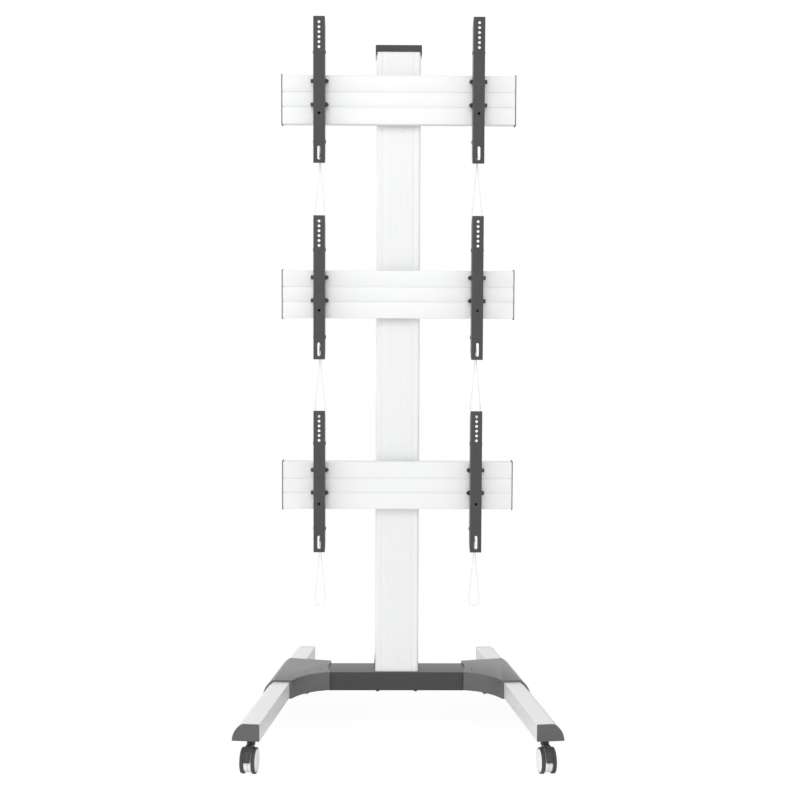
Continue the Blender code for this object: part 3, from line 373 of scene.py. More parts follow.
def copied(mesh, matrix=Matrix()):
    bm = bmesh.new()
    bm.from_mesh(mesh)
    return moved(bm, matrix)


def arc(x, y, radius, start, end, steps):
    turns = [start + (end - start) * i / steps for i in range(steps + 1)]
    return [(x + radius * cos(t), y + radius * sin(t)) for t in turns]


def ring(x, y, radius, steps):
    return arc(x, y, radius, 0, 2 * pi, steps)[:-1]


def slab(x0, y0, x1, y1, corner=0.0, steps=5):
    if not corner:
        return [(x0, y0), (x1, y0), (x1, y1), (x0, y1)]
    return (arc(x1 - corner, y0 + corner, corner, -pi / 2, 0, steps)
            + arc(x1 - corner, y1 - corner, corner, 0, pi / 2, steps)
            + arc(x0 + corner, y1 - corner, corner, pi / 2, pi, steps)
            + arc(x0 + corner, y0 + corner, corner, pi, pi * 1.5, steps))


def stadium(x, y0, y1, half, steps=10):
    return arc(x, y1 - half, half, 0, pi, steps) + arc(x, y0 + half, half, pi, 2 * pi, steps)


def grooveInto(width, depth, rim, draft):       # along a face and into it, with round rims and leaning walls
    half = [(width / 2 + rim - rim * sin(t), rim - rim * cos(t)) for t in (0, pi / 6, pi / 3, pi / 2)]
    half.append((width / 2 - draft, depth))
    return [(-run, into) for run, into in half] + [(run, into) for run, into in reversed(half)]


def alongFace(x, y, stepX, stepY, features):        # the inner side is to the left of the way it runs
    spots = []
    for distance, feature in features:
        for run, into in feature:
            far = distance + run
            spots.append((x + stepX * far - stepY * into, y + stepY * far + stepX * into))
    return spots


def rounded(points, radii):     # an outline whose corners are turned into arcs
    steps, spots = 4, []
    for i, (point, radius) in enumerate(zip(points, radii)):
        if not radius:
            spots.append(point)
            continue
        here = Vector(point)
        before = (Vector(points[i - 1]) - here).normalized()
        after = (Vector(points[(i + 1) % len(points)]) - here).normalized()
        half = before.angle(after) / 2
        centre = here + (before + after).normalized() * radius / sin(half)
        start = here + before * radius / sin(half) * cos(half) - centre
        finish = here + after * radius / sin(half) * cos(half) - centre
        turn = atan2(start.x * finish.y - start.y * finish.x, start.dot(finish))
        spots += [tuple(centre + Matrix.Rotation(turn * k / steps, 2) @ start) for k in range(steps + 1)]
    return spots


def addPiece(name, bm, look, body, replaced=(), smooth=32):
    mesh = bpy.data.meshes.new(name)
    bm.to_mesh(mesh)
    bm.free()
    finish, slotName = looks[look]
    mesh.materials.append(finish)
    mesh.shade_smooth()
    mesh.set_sharp_from_angle(angle=radians(smooth))
    piece = bpy.data.objects.new(name, mesh)
    bpy.context.scene.collection.objects.link(piece)
    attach(piece, body)
    if replaced:
        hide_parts(*replaced)
    return piece


# fasteners, each standing on Z = 0

def buttonScrew(radius, height, key=1.6 * mm, steps=28):
    turns = [pi / 8 * i for i in range(4)]
    dome = [(radius * cos(t), height * (0.25 + 0.75 * sin(t))) for t in turns]
    head = spun([(0, 0), (radius, 0)] + dome + [(radius * 0.2, height), (0, height)], steps)
    return cut(head, prism(ring(0, 0, key, 6), height, upward(z=height * 0.45)))


def roundHead(radius, height, key, steps=28):       # straight sides and a well rounded edge
    edge = radius * 0.4
    side = arc(radius - edge, height - edge, edge, 0, pi / 2, 3)
    head = spun([(0, 0), (radius, 0)] + side + [(0, height)], steps)
    return cut(head, prism(ring(0, 0, key, 6), height, upward(z=height * 0.5)))


def hexHead(flats, height, washer, thick, steps=32):        # a hexagon on a pressed-on washer
    across, fall = flats / 2 / cos(pi / 6), 1.4 * mm
    wide = across * 1.1
    crown = spun([(0, 0), (wide, 0), (wide, height - fall), (flats / 2 * 0.96, height), (0, height)], steps)
    head = shared(prism(ring(0, 0, across, 6), height), crown)
    rim = [(washer, thick - 0.3 * mm), (washer - 0.4 * mm, thick)]
    collar = spun([(0, 0), (washer, 0), *rim, (0, thick)], steps)
    return gathered([moved(head, upward(z=thick)), collar])


# pull cords

cordSettings = {
    "diameter": 3 * mm,
    "length": 436.5 * mm,
    "points": 35,
    "behind": 70.9 * mm,        # behind the arm's front face
    "side": ((1.7, 419.3), (1.7, 430), (2.2, 448), (4.6, 486), (9.4, 532), (13.4, 572), (15.6, 600),
             (13.6, 619), (7.0, 627.4)),        # off the arm's centre line, and below its top end, in mm
    "bottom": 628.6,            # the same way down
    "around": 12,
    "finer": 4,                 # mesh rings for each point of the route
}


def smoothRoute(points, count):     # evenly spread points on one smooth curve through the given ones
    parts = 24
    ends = [2 * points[0] - points[1]] + points + [2 * points[-1] - points[-2]]
    fine = []
    for a, b, c, d in zip(ends, ends[1:], ends[2:], ends[3:]):
        for i in range(parts):
            s = i / parts
            fine.append(0.5 * (2 * b + (c - a) * s + (2 * a - 5 * b + 4 * c - d) * s * s
                               + (3 * b - a - 3 * c + d) * s ** 3))
    fine.append(points[-1])
    travelled = [0.0]
    for a, b in zip(fine, fine[1:]):
        travelled.append(travelled[-1] + (b - a).length)
    route, k = [], 0
    for i in range(count):
        goal = travelled[-1] * i / (count - 1)
        while travelled[k + 1] < goal and k < len(fine) - 2:
            k += 1
        route.append(fine[k].lerp(fine[k + 1], (goal - travelled[k]) / (travelled[k + 1] - travelled[k])))
    return route


def cordTube(route, radius, around):        # rings bridged along the route, with a UV map in cord diameters
    bm = bmesh.new()
    layer = bm.loops.layers.uv.new("route")
    spots, before, travelled = {}, None, 0.0
    side = Vector((0, 1, 0))
    for i, spot in enumerate(route):
        travelled += (spot - route[i - 1]).length if i else 0
        ahead = (route[min(i + 1, len(route) - 1)] - route[max(i - 1, 0)]).normalized()
        across = side.cross(ahead).normalized()
        here = frameAt(spot, across, side, across.cross(side))
        made = bmesh.ops.create_circle(bm, segments=around, radius=radius, matrix=here)
        edges = list({edge for v in made["verts"] for edge in v.link_edges})
        for turn, v in enumerate(made["verts"]):
            spots[v] = (travelled / (2 * radius), turn * pi / around)
        if before:
            bmesh.ops.bridge_loops(bm, edges=before + edges)
        before = edges
    half = pi / 2
    for face in bm.faces:
        highest = max(spots[loop.vert][1] for loop in face.loops)
        for loop in face.loops:
            u, v = spots[loop.vert]
            loop[layer].uv = (u, v + pi if highest - v > half else v)
    bmesh.ops.holes_fill(bm, edges=bm.edges, sides=around)
    bmesh.ops.recalc_face_normals(bm, faces=bm.faces)
    return bm


def makeCords(s):
    for row, height in enumerate(rows):
        for side, sign in sides.items():
            def place(x, z):
                return Vector((sign * armX + x * mm, faceY + s["behind"], armTop - rowPitch * row - z * mm))
            anchors = [place(x, z) for x, z in s["side"]] + [place(0, s["bottom"])]
            anchors += [place(-x, z) for x, z in reversed(s["side"])]
            coarse = smoothRoute(anchors, s["points"])
            route = smoothRoute(coarse, s["finer"] * (s["points"] - 1) + 1)
            name = "pullCord" + height + side
            cord = addPiece(name, cordTube(route, s["diameter"] / 2, s["around"]), "cordWhite",
                            nodeName("latch" + height + side), [nodeName(name)], 180)


makeCords(cordSettings)
print("pull cords hung")


# legs and their end caps

legSettings = {
    "fromEnd": 42 * mm,         # from a caster's stem to the leg's end
    "fromSide": 32.3 * mm,      # and to its inner side
    "length": 920 * mm,
    "height": 49.3 * mm,
    "width": 79.5 * mm,
    "round": 55.5 * mm,         # radius of the outer side, which stands upright at its foot
    "wall": 2.6 * mm,
    "web": 47 * mm,
    "gap": 0.3 * mm,
    "edge": 1.2 * mm,           # the rounded inner top edge
    "foot": 0.5 * mm,
    "chamberCorner": 1.2 * mm,
    "cap": 4.7 * mm,
    "capEdge": 0.3 * mm,
    "capInset": 0.05 * mm,
    "plug": 12 * mm,
    "plugLap": 1 * mm,          # how far a plug reaches into its cap
    "stemHole": 5.4 * mm,
    "stemHoleDepth": (2 * mm, 8 * mm),      # where its cutter starts below the leg, and the cutter's height
}


def legAxes(side, across=0.0, along=0.0, height=0.0):       # X outwards, Y up, Z to the rear along the leg
    s = legSettings
    front, rear = (jointSpot("swivel_" + end + nodeName(side)) for end in ("front", "rear"))
    back = Vector((rear.x - front.x, rear.y - front.y, 0)).normalized()
    outward = Vector((sides[side] * back.y, -sides[side] * back.x, 0))
    corner = Vector((front.x, front.y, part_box("leg" + nodeName(side))[0].z)) - back * s["fromEnd"]
    corner = corner - outward * s["fromSide"]
    spot = corner + outward * across + back * along + Vector((0, 0, height))
    return frameAt(spot, outward, (0, 0, 1), back)


def roundSide(s, grow, low, high, steps):       # the outer side between two heights
    radius = s["round"] + grow
    return arc(s["width"] - s["round"], 0, radius, asin(low / radius), asin(high / radius), steps)


def topWidth(s):        # of the leg's flat top
    return s["width"] - s["round"] + sqrt(s["round"] ** 2 - s["height"] ** 2)


def legSection(s, grow=0.0):
    edge, foot, top, steps = s["edge"], s["foot"], s["height"], 20
    return (arc(foot, foot, foot + grow, pi, pi * 1.5, 3) + roundSide(s, grow, -grow, top + grow, steps)
            + arc(edge, top - edge, edge + grow, pi / 2, pi, 4))


def makeLegs(s):
    below, tallHole = s["stemHoleDepth"]
    lap, far = s["plugLap"], s["length"] - s["cap"]
    for side in sides:
        inner, tall, clear = s["wall"], s["height"] - s["wall"], s["cap"] + s["gap"]
        leg = prism(legSection(s), s["length"] - 2 * clear, legAxes(side, along=clear))
        main = slab(inner, inner, s["web"], tall, s["chamberCorner"], 3)
        web = s["web"] + s["wall"]
        centre, reach = s["width"] - s["round"], s["round"] - s["wall"]
        meets = reach * sin(acos((web - centre) / reach))
        for chamber in (main, [(web, inner)] + roundSide(s, -s["wall"], inner, meets, 12)):
            leg = cut(leg, prism(chamber, s["length"] + 2 * past, legAxes(side, along=-past)))
        for along in (s["fromEnd"], s["length"] - s["fromEnd"]):
            spot = legAxes(side, s["fromSide"], along, -below).translation
            leg = cut(leg, prism(ring(0, 0, s["stemHole"], 28), tallHole, upward(*spot)))
        addPiece("leg" + side, leg, "legSilver" + side, base, ["leg" + nodeName(side)], 26)
        for end, start, plug in (("Front", 0, s["cap"] - lap), ("Rear", far, lap - s["plug"])):
            cap = softened(prism(legSection(s, -s["capInset"]), s["cap"]), s["capEdge"], 2, 40)
            cap = moved(cap, legAxes(side, along=start))
            inside = s["wall"] + s["gap"]
            filler = slab(inside, inside, s["web"] - s["gap"], s["height"] - inside, s["chamberCorner"], 3)
            filler = prism(filler, s["plug"], legAxes(side, along=start + plug))
            name = "legCap" + end + side
            addPiece(name, welded(cap, filler), "endCapGrey", base, [nodeName(name)], 30)


makeLegs(legSettings)
print("legs and end caps made")


# corner brackets, hollow die castings that the legs pass through

bracketSettings = {
    "bottom": 94.5 * mm,
    "top": 153.5 * mm,
    "innerWall": 6.9 * mm,
    "outerWall": 6.0 * mm,
    "front": 453.5 * mm,        # along the leg
    "rear": 734 * mm,
    "endX": 216 * mm,
    "endFront": 99 * mm,        # behind the arms' front face
    "endRear": 249 * mm,
    "sweep": 19.3 * mm,         # how far the front's hollow stands off its chord
    "flat": 0.24,               # share of the front that is flat, at the beam's end
    "flare": 0.06,              # and at the rim
    "notchDepth": 7 * mm,
    "notchHalf": 60 * mm,
    "edge": 1.2 * mm,
    "socketPlay": 3 * mm,       # at the beam's ends
    "socketDrop": 80 * mm,
    "cutAhead": 40 * mm,        # where the cutters along the leg start, in front of the bracket
    "cutLength": 400 * mm,
    "skinPast": (9 * mm, 5 * mm),       # how far the outer cutter reaches out and down, and up
    "screw": Vector((244.5, 138)) * mm,
    "screwHead": (3 * mm, 1.2 * mm, 1.2 * mm),
}


def hollowFront(start, end, depth, flat, flare):        # flat, then hollow, then a short flare
    steps = 22
    first, last = Vector(start), Vector(end)
    chord = last - first
    half = chord.length / 2
    radius = (half * half + depth * depth) / (2 * depth)
    left = Vector((-chord.y, chord.x)).normalized()
    centre = (first + last) / 2 + left * (depth - radius)
    opening = (first - centre).angle(last - centre)

    def at(share):
        turn = opening * (share - 0.5)
        return tuple(centre + left * radius * cos(turn) + chord.normalized() * radius * sin(turn))

    return [at(0)] + [at(flare + (1 - flare - flat) * i / steps) for i in range(steps + 1)] + [at(1)]


def makeBrackets(s, leg):
    outer, gap = leg["width"] + s["outerWall"], leg["gap"]
    out, up = s["skinPast"]
    beamLow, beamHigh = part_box("cross_beam")
    for side, sign in sides.items():
        def onLeg(across, along):
            spot = legAxes(side, across, along).translation
            return spot.x, spot.y
        rim = onLeg(-s["innerWall"], s["front"])
        endFront = (sign * s["endX"], s["endFront"] + faceY)
        endRear = Vector((sign * s["endX"], s["endRear"] + faceY))
        corner = Vector(onLeg(topWidth(leg), s["rear"]))
        outward = legAxes(side).col[0].to_2d()
        reach = (corner - endRear).dot(outward)
        farRear = endRear + (corner - endRear) * (reach + outer - topWidth(leg)) / reach
        if sign < 0:
            front = hollowFront(rim, endFront, s["sweep"], s["flat"], s["flare"])
        else:
            front = hollowFront(endFront, rim, s["sweep"], s["flare"], s["flat"])[::-1]
        plan = front + [tuple(endRear), tuple(farRear), onLeg(outer, s["front"])]
        bracket = softened(prism(plan, s["top"] - s["bottom"], upward(z=s["bottom"])), s["edge"], 3, 50)
        skinTop = s["top"] - legAxes(side).translation.z
        skin = roundSide(leg, s["outerWall"], 0, skinTop, 20)
        skin += [(skin[-1][0], skinTop + up), (outer + out, skinTop + up), (outer + out, -out), (outer, -out)]
        for section in (skin, legSection(leg, gap)):
            cutter = prism(section, s["cutLength"], legAxes(side, along=s["front"] - s["cutAhead"]))
            bracket = cut(bracket, cutter)
        near, far = sorted((sign * (s["endX"] - past), sign * (beamHigh.x + s["socketPlay"])))
        socket = slab(beamLow.y - gap, beamHigh.z - s["socketDrop"], beamHigh.y + gap, beamHigh.z + gap)
        bracket = cut(bracket, prism(socket, far - near, sideways(near)))
        radius = (s["notchHalf"] ** 2 + s["notchDepth"] ** 2) / (2 * s["notchDepth"])
        centre = (sign * (s["endX"] + s["notchDepth"] - radius), (beamLow.y + beamHigh.y) / 2)
        bracket = cut(bracket, prism(ring(*centre, radius, 160), 8 * mm, upward(z=beamHigh.z - 1 * mm)))
        name = "cornerBracket" + side
        addPiece(name, bracket, "bracketGrey", base, [nodeName(name)], 30)
        spot = (sign * s["screw"].x, s["screw"].y + faceY, s["top"])
        screw = moved(buttonScrew(*s["screwHead"]), upward(*spot))
        addPiece("bracketScrew" + side, screw, "boltBlack", base)


makeBrackets(bracketSettings, legSettings)
print("corner brackets made")


# cross beam

beamSettings = {
    "corner": 3.5 * mm,
    "wall": 3 * mm,
    "boltX": 61.5 * mm,
    "boltRows": (125 * mm, 219 * mm),       # behind the arms' front face
    "bolt": (10 * mm, 3.6 * mm, 6.5 * mm, 1.2 * mm),        # flats, height, washer's radius and thickness
}


def makeBeam(s):
    low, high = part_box("cross_beam")
    tube = prism(slab(low.y, low.z, high.y, high.z, s["corner"], 8), high.x - low.x, sideways(low.x))
    wall = s["wall"]
    inside = slab(low.y + wall, low.z + wall, high.y - wall, high.z - wall, s["corner"] - wall, 4)
    tube = cut(tube, prism(inside, high.x - low.x + 2 * past, sideways(low.x - past)))
    addPiece("crossBeam", tube, "beamGrey", base, ["cross_beam"], 30)
    spots = [(x, y + faceY, low.z) for x in (-s["boltX"], s["boltX"]) for y in s["boltRows"]]
    bolts = [moved(hexHead(*s["bolt"]), pointing(spot, (0, 0, -1))) for spot in spots]
    addPiece("beamBolts", gathered(bolts), "boltBlack", base)


makeBeam(beamSettings)
print("cross beam made")


# column, its cap and the bracket behind its foot

columnSettings = {
    "corner": 8 * mm,
    "grooveX": 50 * mm,
    "groove": (4 * mm, 1 * mm, 0.3 * mm, 0.4 * mm),
    "flutes": 7,
    "flutePitch": 10 * mm,
    "fluteWidth": 2 * mm,
    "fluteDepth": 0.6 * mm,
    "wall": 3.5 * mm,
    "duct": 36.45 * mm,         # from the middle to its side
    "ductCorner": 2 * mm,
    "sideDuct": (39.95 * mm, 66.5 * mm),
}


def makeColumn(s):
    low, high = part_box("column")
    wide, deep, corner = high.x, high.y - low.y, s["corner"]
    groove = grooveInto(*s["groove"])
    half, sunk = s["fluteWidth"] / 2, s["fluteDepth"]
    flute = [(half * cos(t), sunk * sin(t)) for t in (pi, pi * 0.75, pi / 2, pi / 4, 0)]
    first = wide - s["flutePitch"] * (s["flutes"] - 1) / 2
    flutes = [(first + s["flutePitch"] * i, flute) for i in range(s["flutes"])]
    ends = (wide - s["grooveX"], groove), (wide + s["grooveX"], groove)
    section = (arc(-wide + corner, corner, corner, pi, pi * 1.5, 8)
               + alongFace(-wide, 0, 1, 0, [ends[0], *flutes, ends[1]])
               + arc(wide - corner, corner, corner, -pi / 2, 0, 8)
               + arc(wide - corner, deep - corner, corner, 0, pi / 2, 8)
               + alongFace(wide, deep, -1, 0, ends)
               + arc(-wide + corner, deep - corner, corner, pi / 2, pi, 8))
    column = prism(section, high.z - low.z, upward(0, low.y, low.z))
    half, wall, fillet = s["duct"], s["wall"], corner - s["wall"]
    near, far = s["sideDuct"]
    ducts = [slab(-half, wall, half, deep - wall, s["ductCorner"], 3),
             slab(near, wall, far, deep - wall, fillet, 3), slab(-far, wall, -near, deep - wall, fillet, 3)]
    tall, under = high.z - low.z + 2 * past, upward(0, low.y, low.z - past)
    column = cut(column, gathered([prism(duct, tall, under) for duct in ducts]))
    addPiece("columnExtrusion", column, "columnSilver", base, ["column"], 24)


columnCapSettings = {
    "skirt": 2120.2 * mm,
    "bottom": 2130.2 * mm,
    "gap": 0.3 * mm,
    "corner": 3 * mm,
    "edge": 1.2 * mm,
}


def makeColumnCap(s):
    low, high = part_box("column_cap")
    columnLow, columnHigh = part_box("column")
    inside = columnHigh.x + s["gap"]
    half = ([(inside, s["bottom"]), (inside, s["skirt"]), (high.x, s["skirt"])]
            + arc(high.x - s["corner"], high.z - s["corner"], s["corner"], 0, pi / 2, 6))
    outline = half + [(-x, z) for x, z in reversed(half)]
    cap = softened(prism(outline, high.y - low.y, rearward(y=low.y)), s["edge"], 3, 50)
    pocket = slab(-inside, columnLow.y - s["gap"], inside, columnHigh.y + s["gap"])
    cap = cut(cap, prism(pocket, 60 * mm, upward(z=columnHigh.z + s["gap"] - 60 * mm)))
    addPiece("columnCap", cap, "columnCapGrey", base, ["column_cap"], 30)


footSettings = {
    "plate": 4 * mm,
    "top": 236.2 * mm,
    "halfBase": 73 * mm,
    "halfTop": 67.2 * mm,
    "drop": 47 * mm,
    "gap": 0.3 * mm,
    "corner": 6 * mm,
    "bends": (0, 0.8, 0.6, 0.6, 4.5, 1, 0.6, 0.6),       # radii of the bent section's corners, in mm
    "columnScrews": (180.2 * mm, 218.2 * mm),
    "beamScrews": ((-55 * mm, 122.2 * mm), (55 * mm, 122.2 * mm)),
    "screwHead": (6 * mm, 3.4 * mm, 2.3 * mm),
}


def makeFoot(s):
    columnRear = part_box("column")[1].y + s["gap"]
    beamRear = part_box("cross_beam")[1].y + s["gap"]
    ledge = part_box("cross_beam")[1].z + s["gap"]
    columnBack, beamBack = columnRear + s["plate"], beamRear + s["plate"]
    low, shelf, top, wide = ledge - s["drop"], ledge + s["plate"], s["top"], s["halfBase"]
    bend = [(columnRear, ledge), (beamRear, ledge), (beamRear, low), (beamBack, low), (beamBack, shelf),
            (columnBack, shelf), (columnBack, top), (columnRear, top)]
    radii = [radius * mm for radius in s["bends"]]
    foot = prism(rounded(bend, radii), 2 * wide + 4 * mm, sideways(-wide - 2 * mm))
    under = low - 5 * mm
    taper = [(-wide, under), (wide, under), (wide, shelf), (s["halfTop"], top), (-s["halfTop"], top),
             (-wide, shelf)]
    outline = rounded(taper, (0, 0, 0, s["corner"], s["corner"], 0))
    foot = shared(foot, prism(outline, 60 * mm, rearward(y=columnRear - 20 * mm)))
    addPiece("columnFootBracket", foot, "beamGrey", base, ["column_foot_bracket"], 30)
    grooveX = columnSettings["grooveX"]
    spots = [(x, columnBack, z) for z in s["columnScrews"] for x in (-grooveX, grooveX)]
    spots += [(x, beamBack, z) for x, z in s["beamScrews"]]
    screws = [moved(buttonScrew(*s["screwHead"]), pointing(spot, (0, 1, 0))) for spot in spots]
    addPiece("footScrews", gathered(screws), "boltBlack", base)


makeColumn(columnSettings)
makeColumnCap(columnCapSettings)
makeFoot(footSettings)
print("column made")


# rails, their end caps and the clamps that hold them to the column

railSettings = {
    "front": 69 * mm,           # behind the arms' front face
    "depth": 45 * mm,
    "height": 150 * mm,
    "half": 366 * mm,
    "cap": 3 * mm,
    "capProud": (1 * mm, 3 * mm),       # in front and behind, and above and below
    "capCorner": 3 * mm,
    "capScrew": (4 * mm, 1.6 * mm),
    "capScrewPlace": (20 * mm, 50 * mm, 0.3 * mm),      # behind the front, off the middle, and sunk in
    "corner": 2 * mm,
    "lineZ": 23 * mm,           # the two shallow grooves along the front, from the middle
    "line": (3.2 * mm, 2.8 * mm, 0.2 * mm, 0.1 * mm),
    "grooveFront": 100 * mm,
    "grooveWidth": 8 * mm,
    "grooveDepth": 12 * mm,
    "tonguePlay": 0.4 * mm,     # beside what stands in a hook groove
    "wall": 3 * mm,
    "clampWidth": 124 * mm,
    "clampHeight": 110 * mm,
    "clampRear": 121.7 * mm,
    "rib": (1.3 * mm, 1 * mm),
}


def railSection(s):
    half, front, rear, corner = s["height"] / 2, s["front"], s["front"] + s["depth"], s["corner"]
    wide, deep = s["grooveWidth"] / 2, s["grooveDepth"]
    hookGroove, line = [(-wide, 0), (-wide, deep), (wide, deep), (wide, 0)], grooveInto(*s["line"])
    fromFront = s["grooveFront"] + wide - front
    return (arc(front + corner, -half + corner, corner, pi, pi * 1.5, 5)
            + alongFace(front, -half, 1, 0, [(fromFront, hookGroove)])
            + arc(rear - corner, -half + corner, corner, -pi / 2, 0, 5)
            + arc(rear - corner, half - corner, corner, 0, pi / 2, 5)
            + alongFace(rear, half, -1, 0, [(s["depth"] - fromFront, hookGroove)])
            + arc(front + corner, half - corner, corner, pi / 2, pi, 5)
            + alongFace(front, half, 0, -1, [(half - s["lineZ"], line), (half + s["lineZ"], line)]))


def makeRails(s):
    half, wall, front, rear = s["height"] / 2, s["wall"], s["front"], s["front"] + s["depth"]
    long = s["half"] - s["cap"]
    rail = prism(railSection(s), 2 * long, sideways(-long))
    step, low, high = s["grooveFront"] - wall, half - s["grooveDepth"] - wall, half - wall
    deep = front + s["line"][1] + wall
    chamber = [(deep, -high), (step, -high), (step, -low), (rear - wall, -low), (rear - wall, low),
               (step, low), (step, high), (deep, high)]
    rail = pattern(cut(rail, prism(chamber, 2 * long + 2 * past, sideways(-long - past))))
    out, up = s["capProud"]
    rim = slab(front - out, -half - up, rear + out, half + up, s["capCorner"], 5)
    cap = softened(prism(rim, s["cap"], sideways(0)), 0.5 * mm, 2, 50, lambda spot: spot.x > s["cap"] / 2)
    behind, away, sunk = s["capScrewPlace"]
    for z in (-away, away):
        spot = (s["cap"] - sunk, front + behind, z)
        cap = welded(cap, moved(buttonScrew(*s["capScrew"]), pointing(spot, (1, 0, 0))))
    cap = pattern(cap)
    clampHalf, back = s["clampWidth"] / 2, s["clampRear"]
    out, into = s["rib"]
    ribs = []
    for x in (columnSettings["grooveX"], -columnSettings["grooveX"]):
        ribs += [(x + out, back), (x + out, back + into), (x - out, back + into), (x - out, back)]
    plate = [(-clampHalf, rear), (clampHalf, rear), (clampHalf, back), *ribs, (-clampHalf, back)]
    clampTop = s["clampHeight"] / 2

    def atRim(spot):
        return abs(spot.x) > clampHalf - 1 * mm or abs(spot.z) > clampTop - 1 * mm

    clamp = pattern(softened(prism(plate, 2 * clampTop, upward(z=-clampTop)), 0.8 * mm, 2, 50, atRim))
    for row, height in enumerate(rows):
        here = upward(0, faceY, armTop - rowPitch * row + railCentre)
        node = ["rail" + nodeName(height)]
        addPiece("rail" + height, copied(rail, here), "railSilver", base, node, 24)
        addPiece("railClamp" + height, copied(clamp, here), "columnCapGrey", base, node, 30)
        for side, sign in sides.items():
            turn = here @ upward(sign * long) @ Matrix.Scale(sign, 4, (1, 0, 0))
            addPiece("railEndCap" + height + side, tidied(copied(cap, turn)), "endCapGrey", base, node, 30)


makeRails(railSettings)
print("rails made")


# arms, modelled with the top end at Z = 0 and the front face at Y = 0

armSettings = {
    "length": 445 * mm,
    "width": 35.5 * mm,
    "depth": 58 * mm,
    "sheet": 2.5 * mm,
    "bend": 3 * mm,
    "endDepth": 38 * mm,
    "endFall": 5.6 * mm,        # how far a flange's end falls away towards its corner
    "taper": 24 * mm,
    "edge": 0.4 * mm,
    "holes": (17.5, 32.5, 47.5, 62.5, 77.5, 92.5, 292.5),       # mm below the top end
    "holeRadius": 4.25 * mm,
    "slot": (392.5 * mm, 434.5 * mm, 5 * mm),
    "boltY": 43 * mm,
    "bolts": (190.3 * mm, 262.2 * mm),
    "boltRadius": 4 * mm,
    "boltPlay": 0.75 * mm,
    "play": 2.8 * mm,           # of the lower bolt in its slot
    "sideScrews": ((104.5 * mm, 30 * mm), (376 * mm, 43 * mm)),     # below the top end, and behind the face
    "screwHead": (6.4 * mm, 2.7 * mm, 2.2 * mm),
}


def armShape(s):
    half, inner, depth = s["width"] / 2, s["width"] / 2 - s["sheet"], s["depth"]
    sheet, bend, small, beyond = s["sheet"], s["bend"], 0.8 * mm, 5 * mm
    channel = ([(half, depth), (inner, depth)] + arc(inner - small, sheet + small, small, 0, -pi / 2, 3)
               + arc(-inner + small, sheet + small, small, -pi / 2, -pi, 3)
               + [(-inner, depth), (-half, depth)]
               + arc(-half + bend, bend, bend, pi, pi * 1.5, 7)
               + arc(half - bend, bend, bend, -pi / 2, 0, 7))
    arm = prism(channel, s["length"], upward(z=-s["length"]))
    for end, inward in ((0, -1), (-s["length"], 1)):
        outside, taper = end - inward * beyond, end + inward * s["taper"]
        corner = [(bend, end), (bend, outside), (depth + beyond, outside), (depth + beyond, taper),
                  (depth, taper), (s["endDepth"], end + inward * s["endFall"])]
        arm = cut(arm, prism(corner, 2 * s["width"], sideways(-s["width"])))
    arm = softened(arm, s["edge"], 2, 40)
    radius = s["holeRadius"]
    hole = [(0, -1 * mm), (radius + 1.4 * mm, -1 * mm), (radius, 0.4 * mm), (radius, 5 * mm), (0, 5 * mm)]
    cutters = [spun(hole, 32, pointing((0, 0, -drop * mm), (0, 1, 0))) for drop in s["holes"]]
    start, end, wide = s["slot"]
    cutters.append(prism(stadium(0, -end, -start, wide), 7 * mm, rearward(y=-2 * mm)))
    play = s["boltRadius"] + s["boltPlay"]
    cutters.append(prism(ring(s["boltY"], -s["bolts"][0], play, 24), 2 * s["width"], sideways(-s["width"])))
    across = stadium(0, -s["play"] - play, s["play"] + play, play, 8)
    level = [(s["boltY"] + y, -s["bolts"][1] + z) for z, y in across]
    cutters.append(prism(level, 2 * s["width"], sideways(-s["width"])))
    return cut(arm, gathered(cutters))


def makeArms(s):
    arm = pattern(armShape(s))
    screws = []
    for drop, behind in s["sideScrews"]:
        for sign in sides.values():
            spot = (sign * s["width"] / 2, behind, -drop)
            screws.append(moved(buttonScrew(*s["screwHead"]), pointing(spot, (sign, 0, 0))))
    screws = pattern(gathered(screws))
    for row, height in enumerate(rows):
        for side, sign in sides.items():
            here, name = upward(sign * armX, faceY, armTop - rowPitch * row), height + side
            body = nodeName("arm" + name)
            addPiece("arm" + name, copied(arm, here), "armGrey", body, [body], 30)
            addPiece("armScrews" + name, copied(screws, here), "boltBlack", body)


makeArms(armSettings)
print("arms made")


# hook carriers, which hang in the rail's top groove and carry the arms on two bolts

carrierSettings = {
    "play": 0.3 * mm,           # between its sides and the arm's
    "cheek": 2.2 * mm,
    "cheekFront": 30 * mm,
    "back": 66 * mm,
    "plate": 2.6 * mm,
    "hookWidth": 28 * mm,
    "hookPlate": 3.4 * mm,
    "reach": 9 * mm,
    "guideHalf": 8.3 * mm,
    "guideWall": 2 * mm,
    "guideLip": 2.5 * mm,
    "guideTop": 16.5 * mm,      # below the rail, so that the latch can be pulled down
    "guideLength": 24 * mm,
    "strapOverlap": 14 * mm,
    "window": 5 * mm,           # radius of the hole behind the arm's middle one
    "head": (6.5 * mm, 9.9 * mm, 2.6 * mm),     # of a through bolt: radius, height and key
    "nut": (13 * mm, 5 * mm, 8.4 * mm, 1.5 * mm),       # over the flats, height, washer's radius, thickness
}


def tongue(rail):       # front and rear of what stands in the rail's hook grooves
    start, play = rail["grooveFront"], rail["tonguePlay"]
    return start + play, start + rail["grooveWidth"] - play


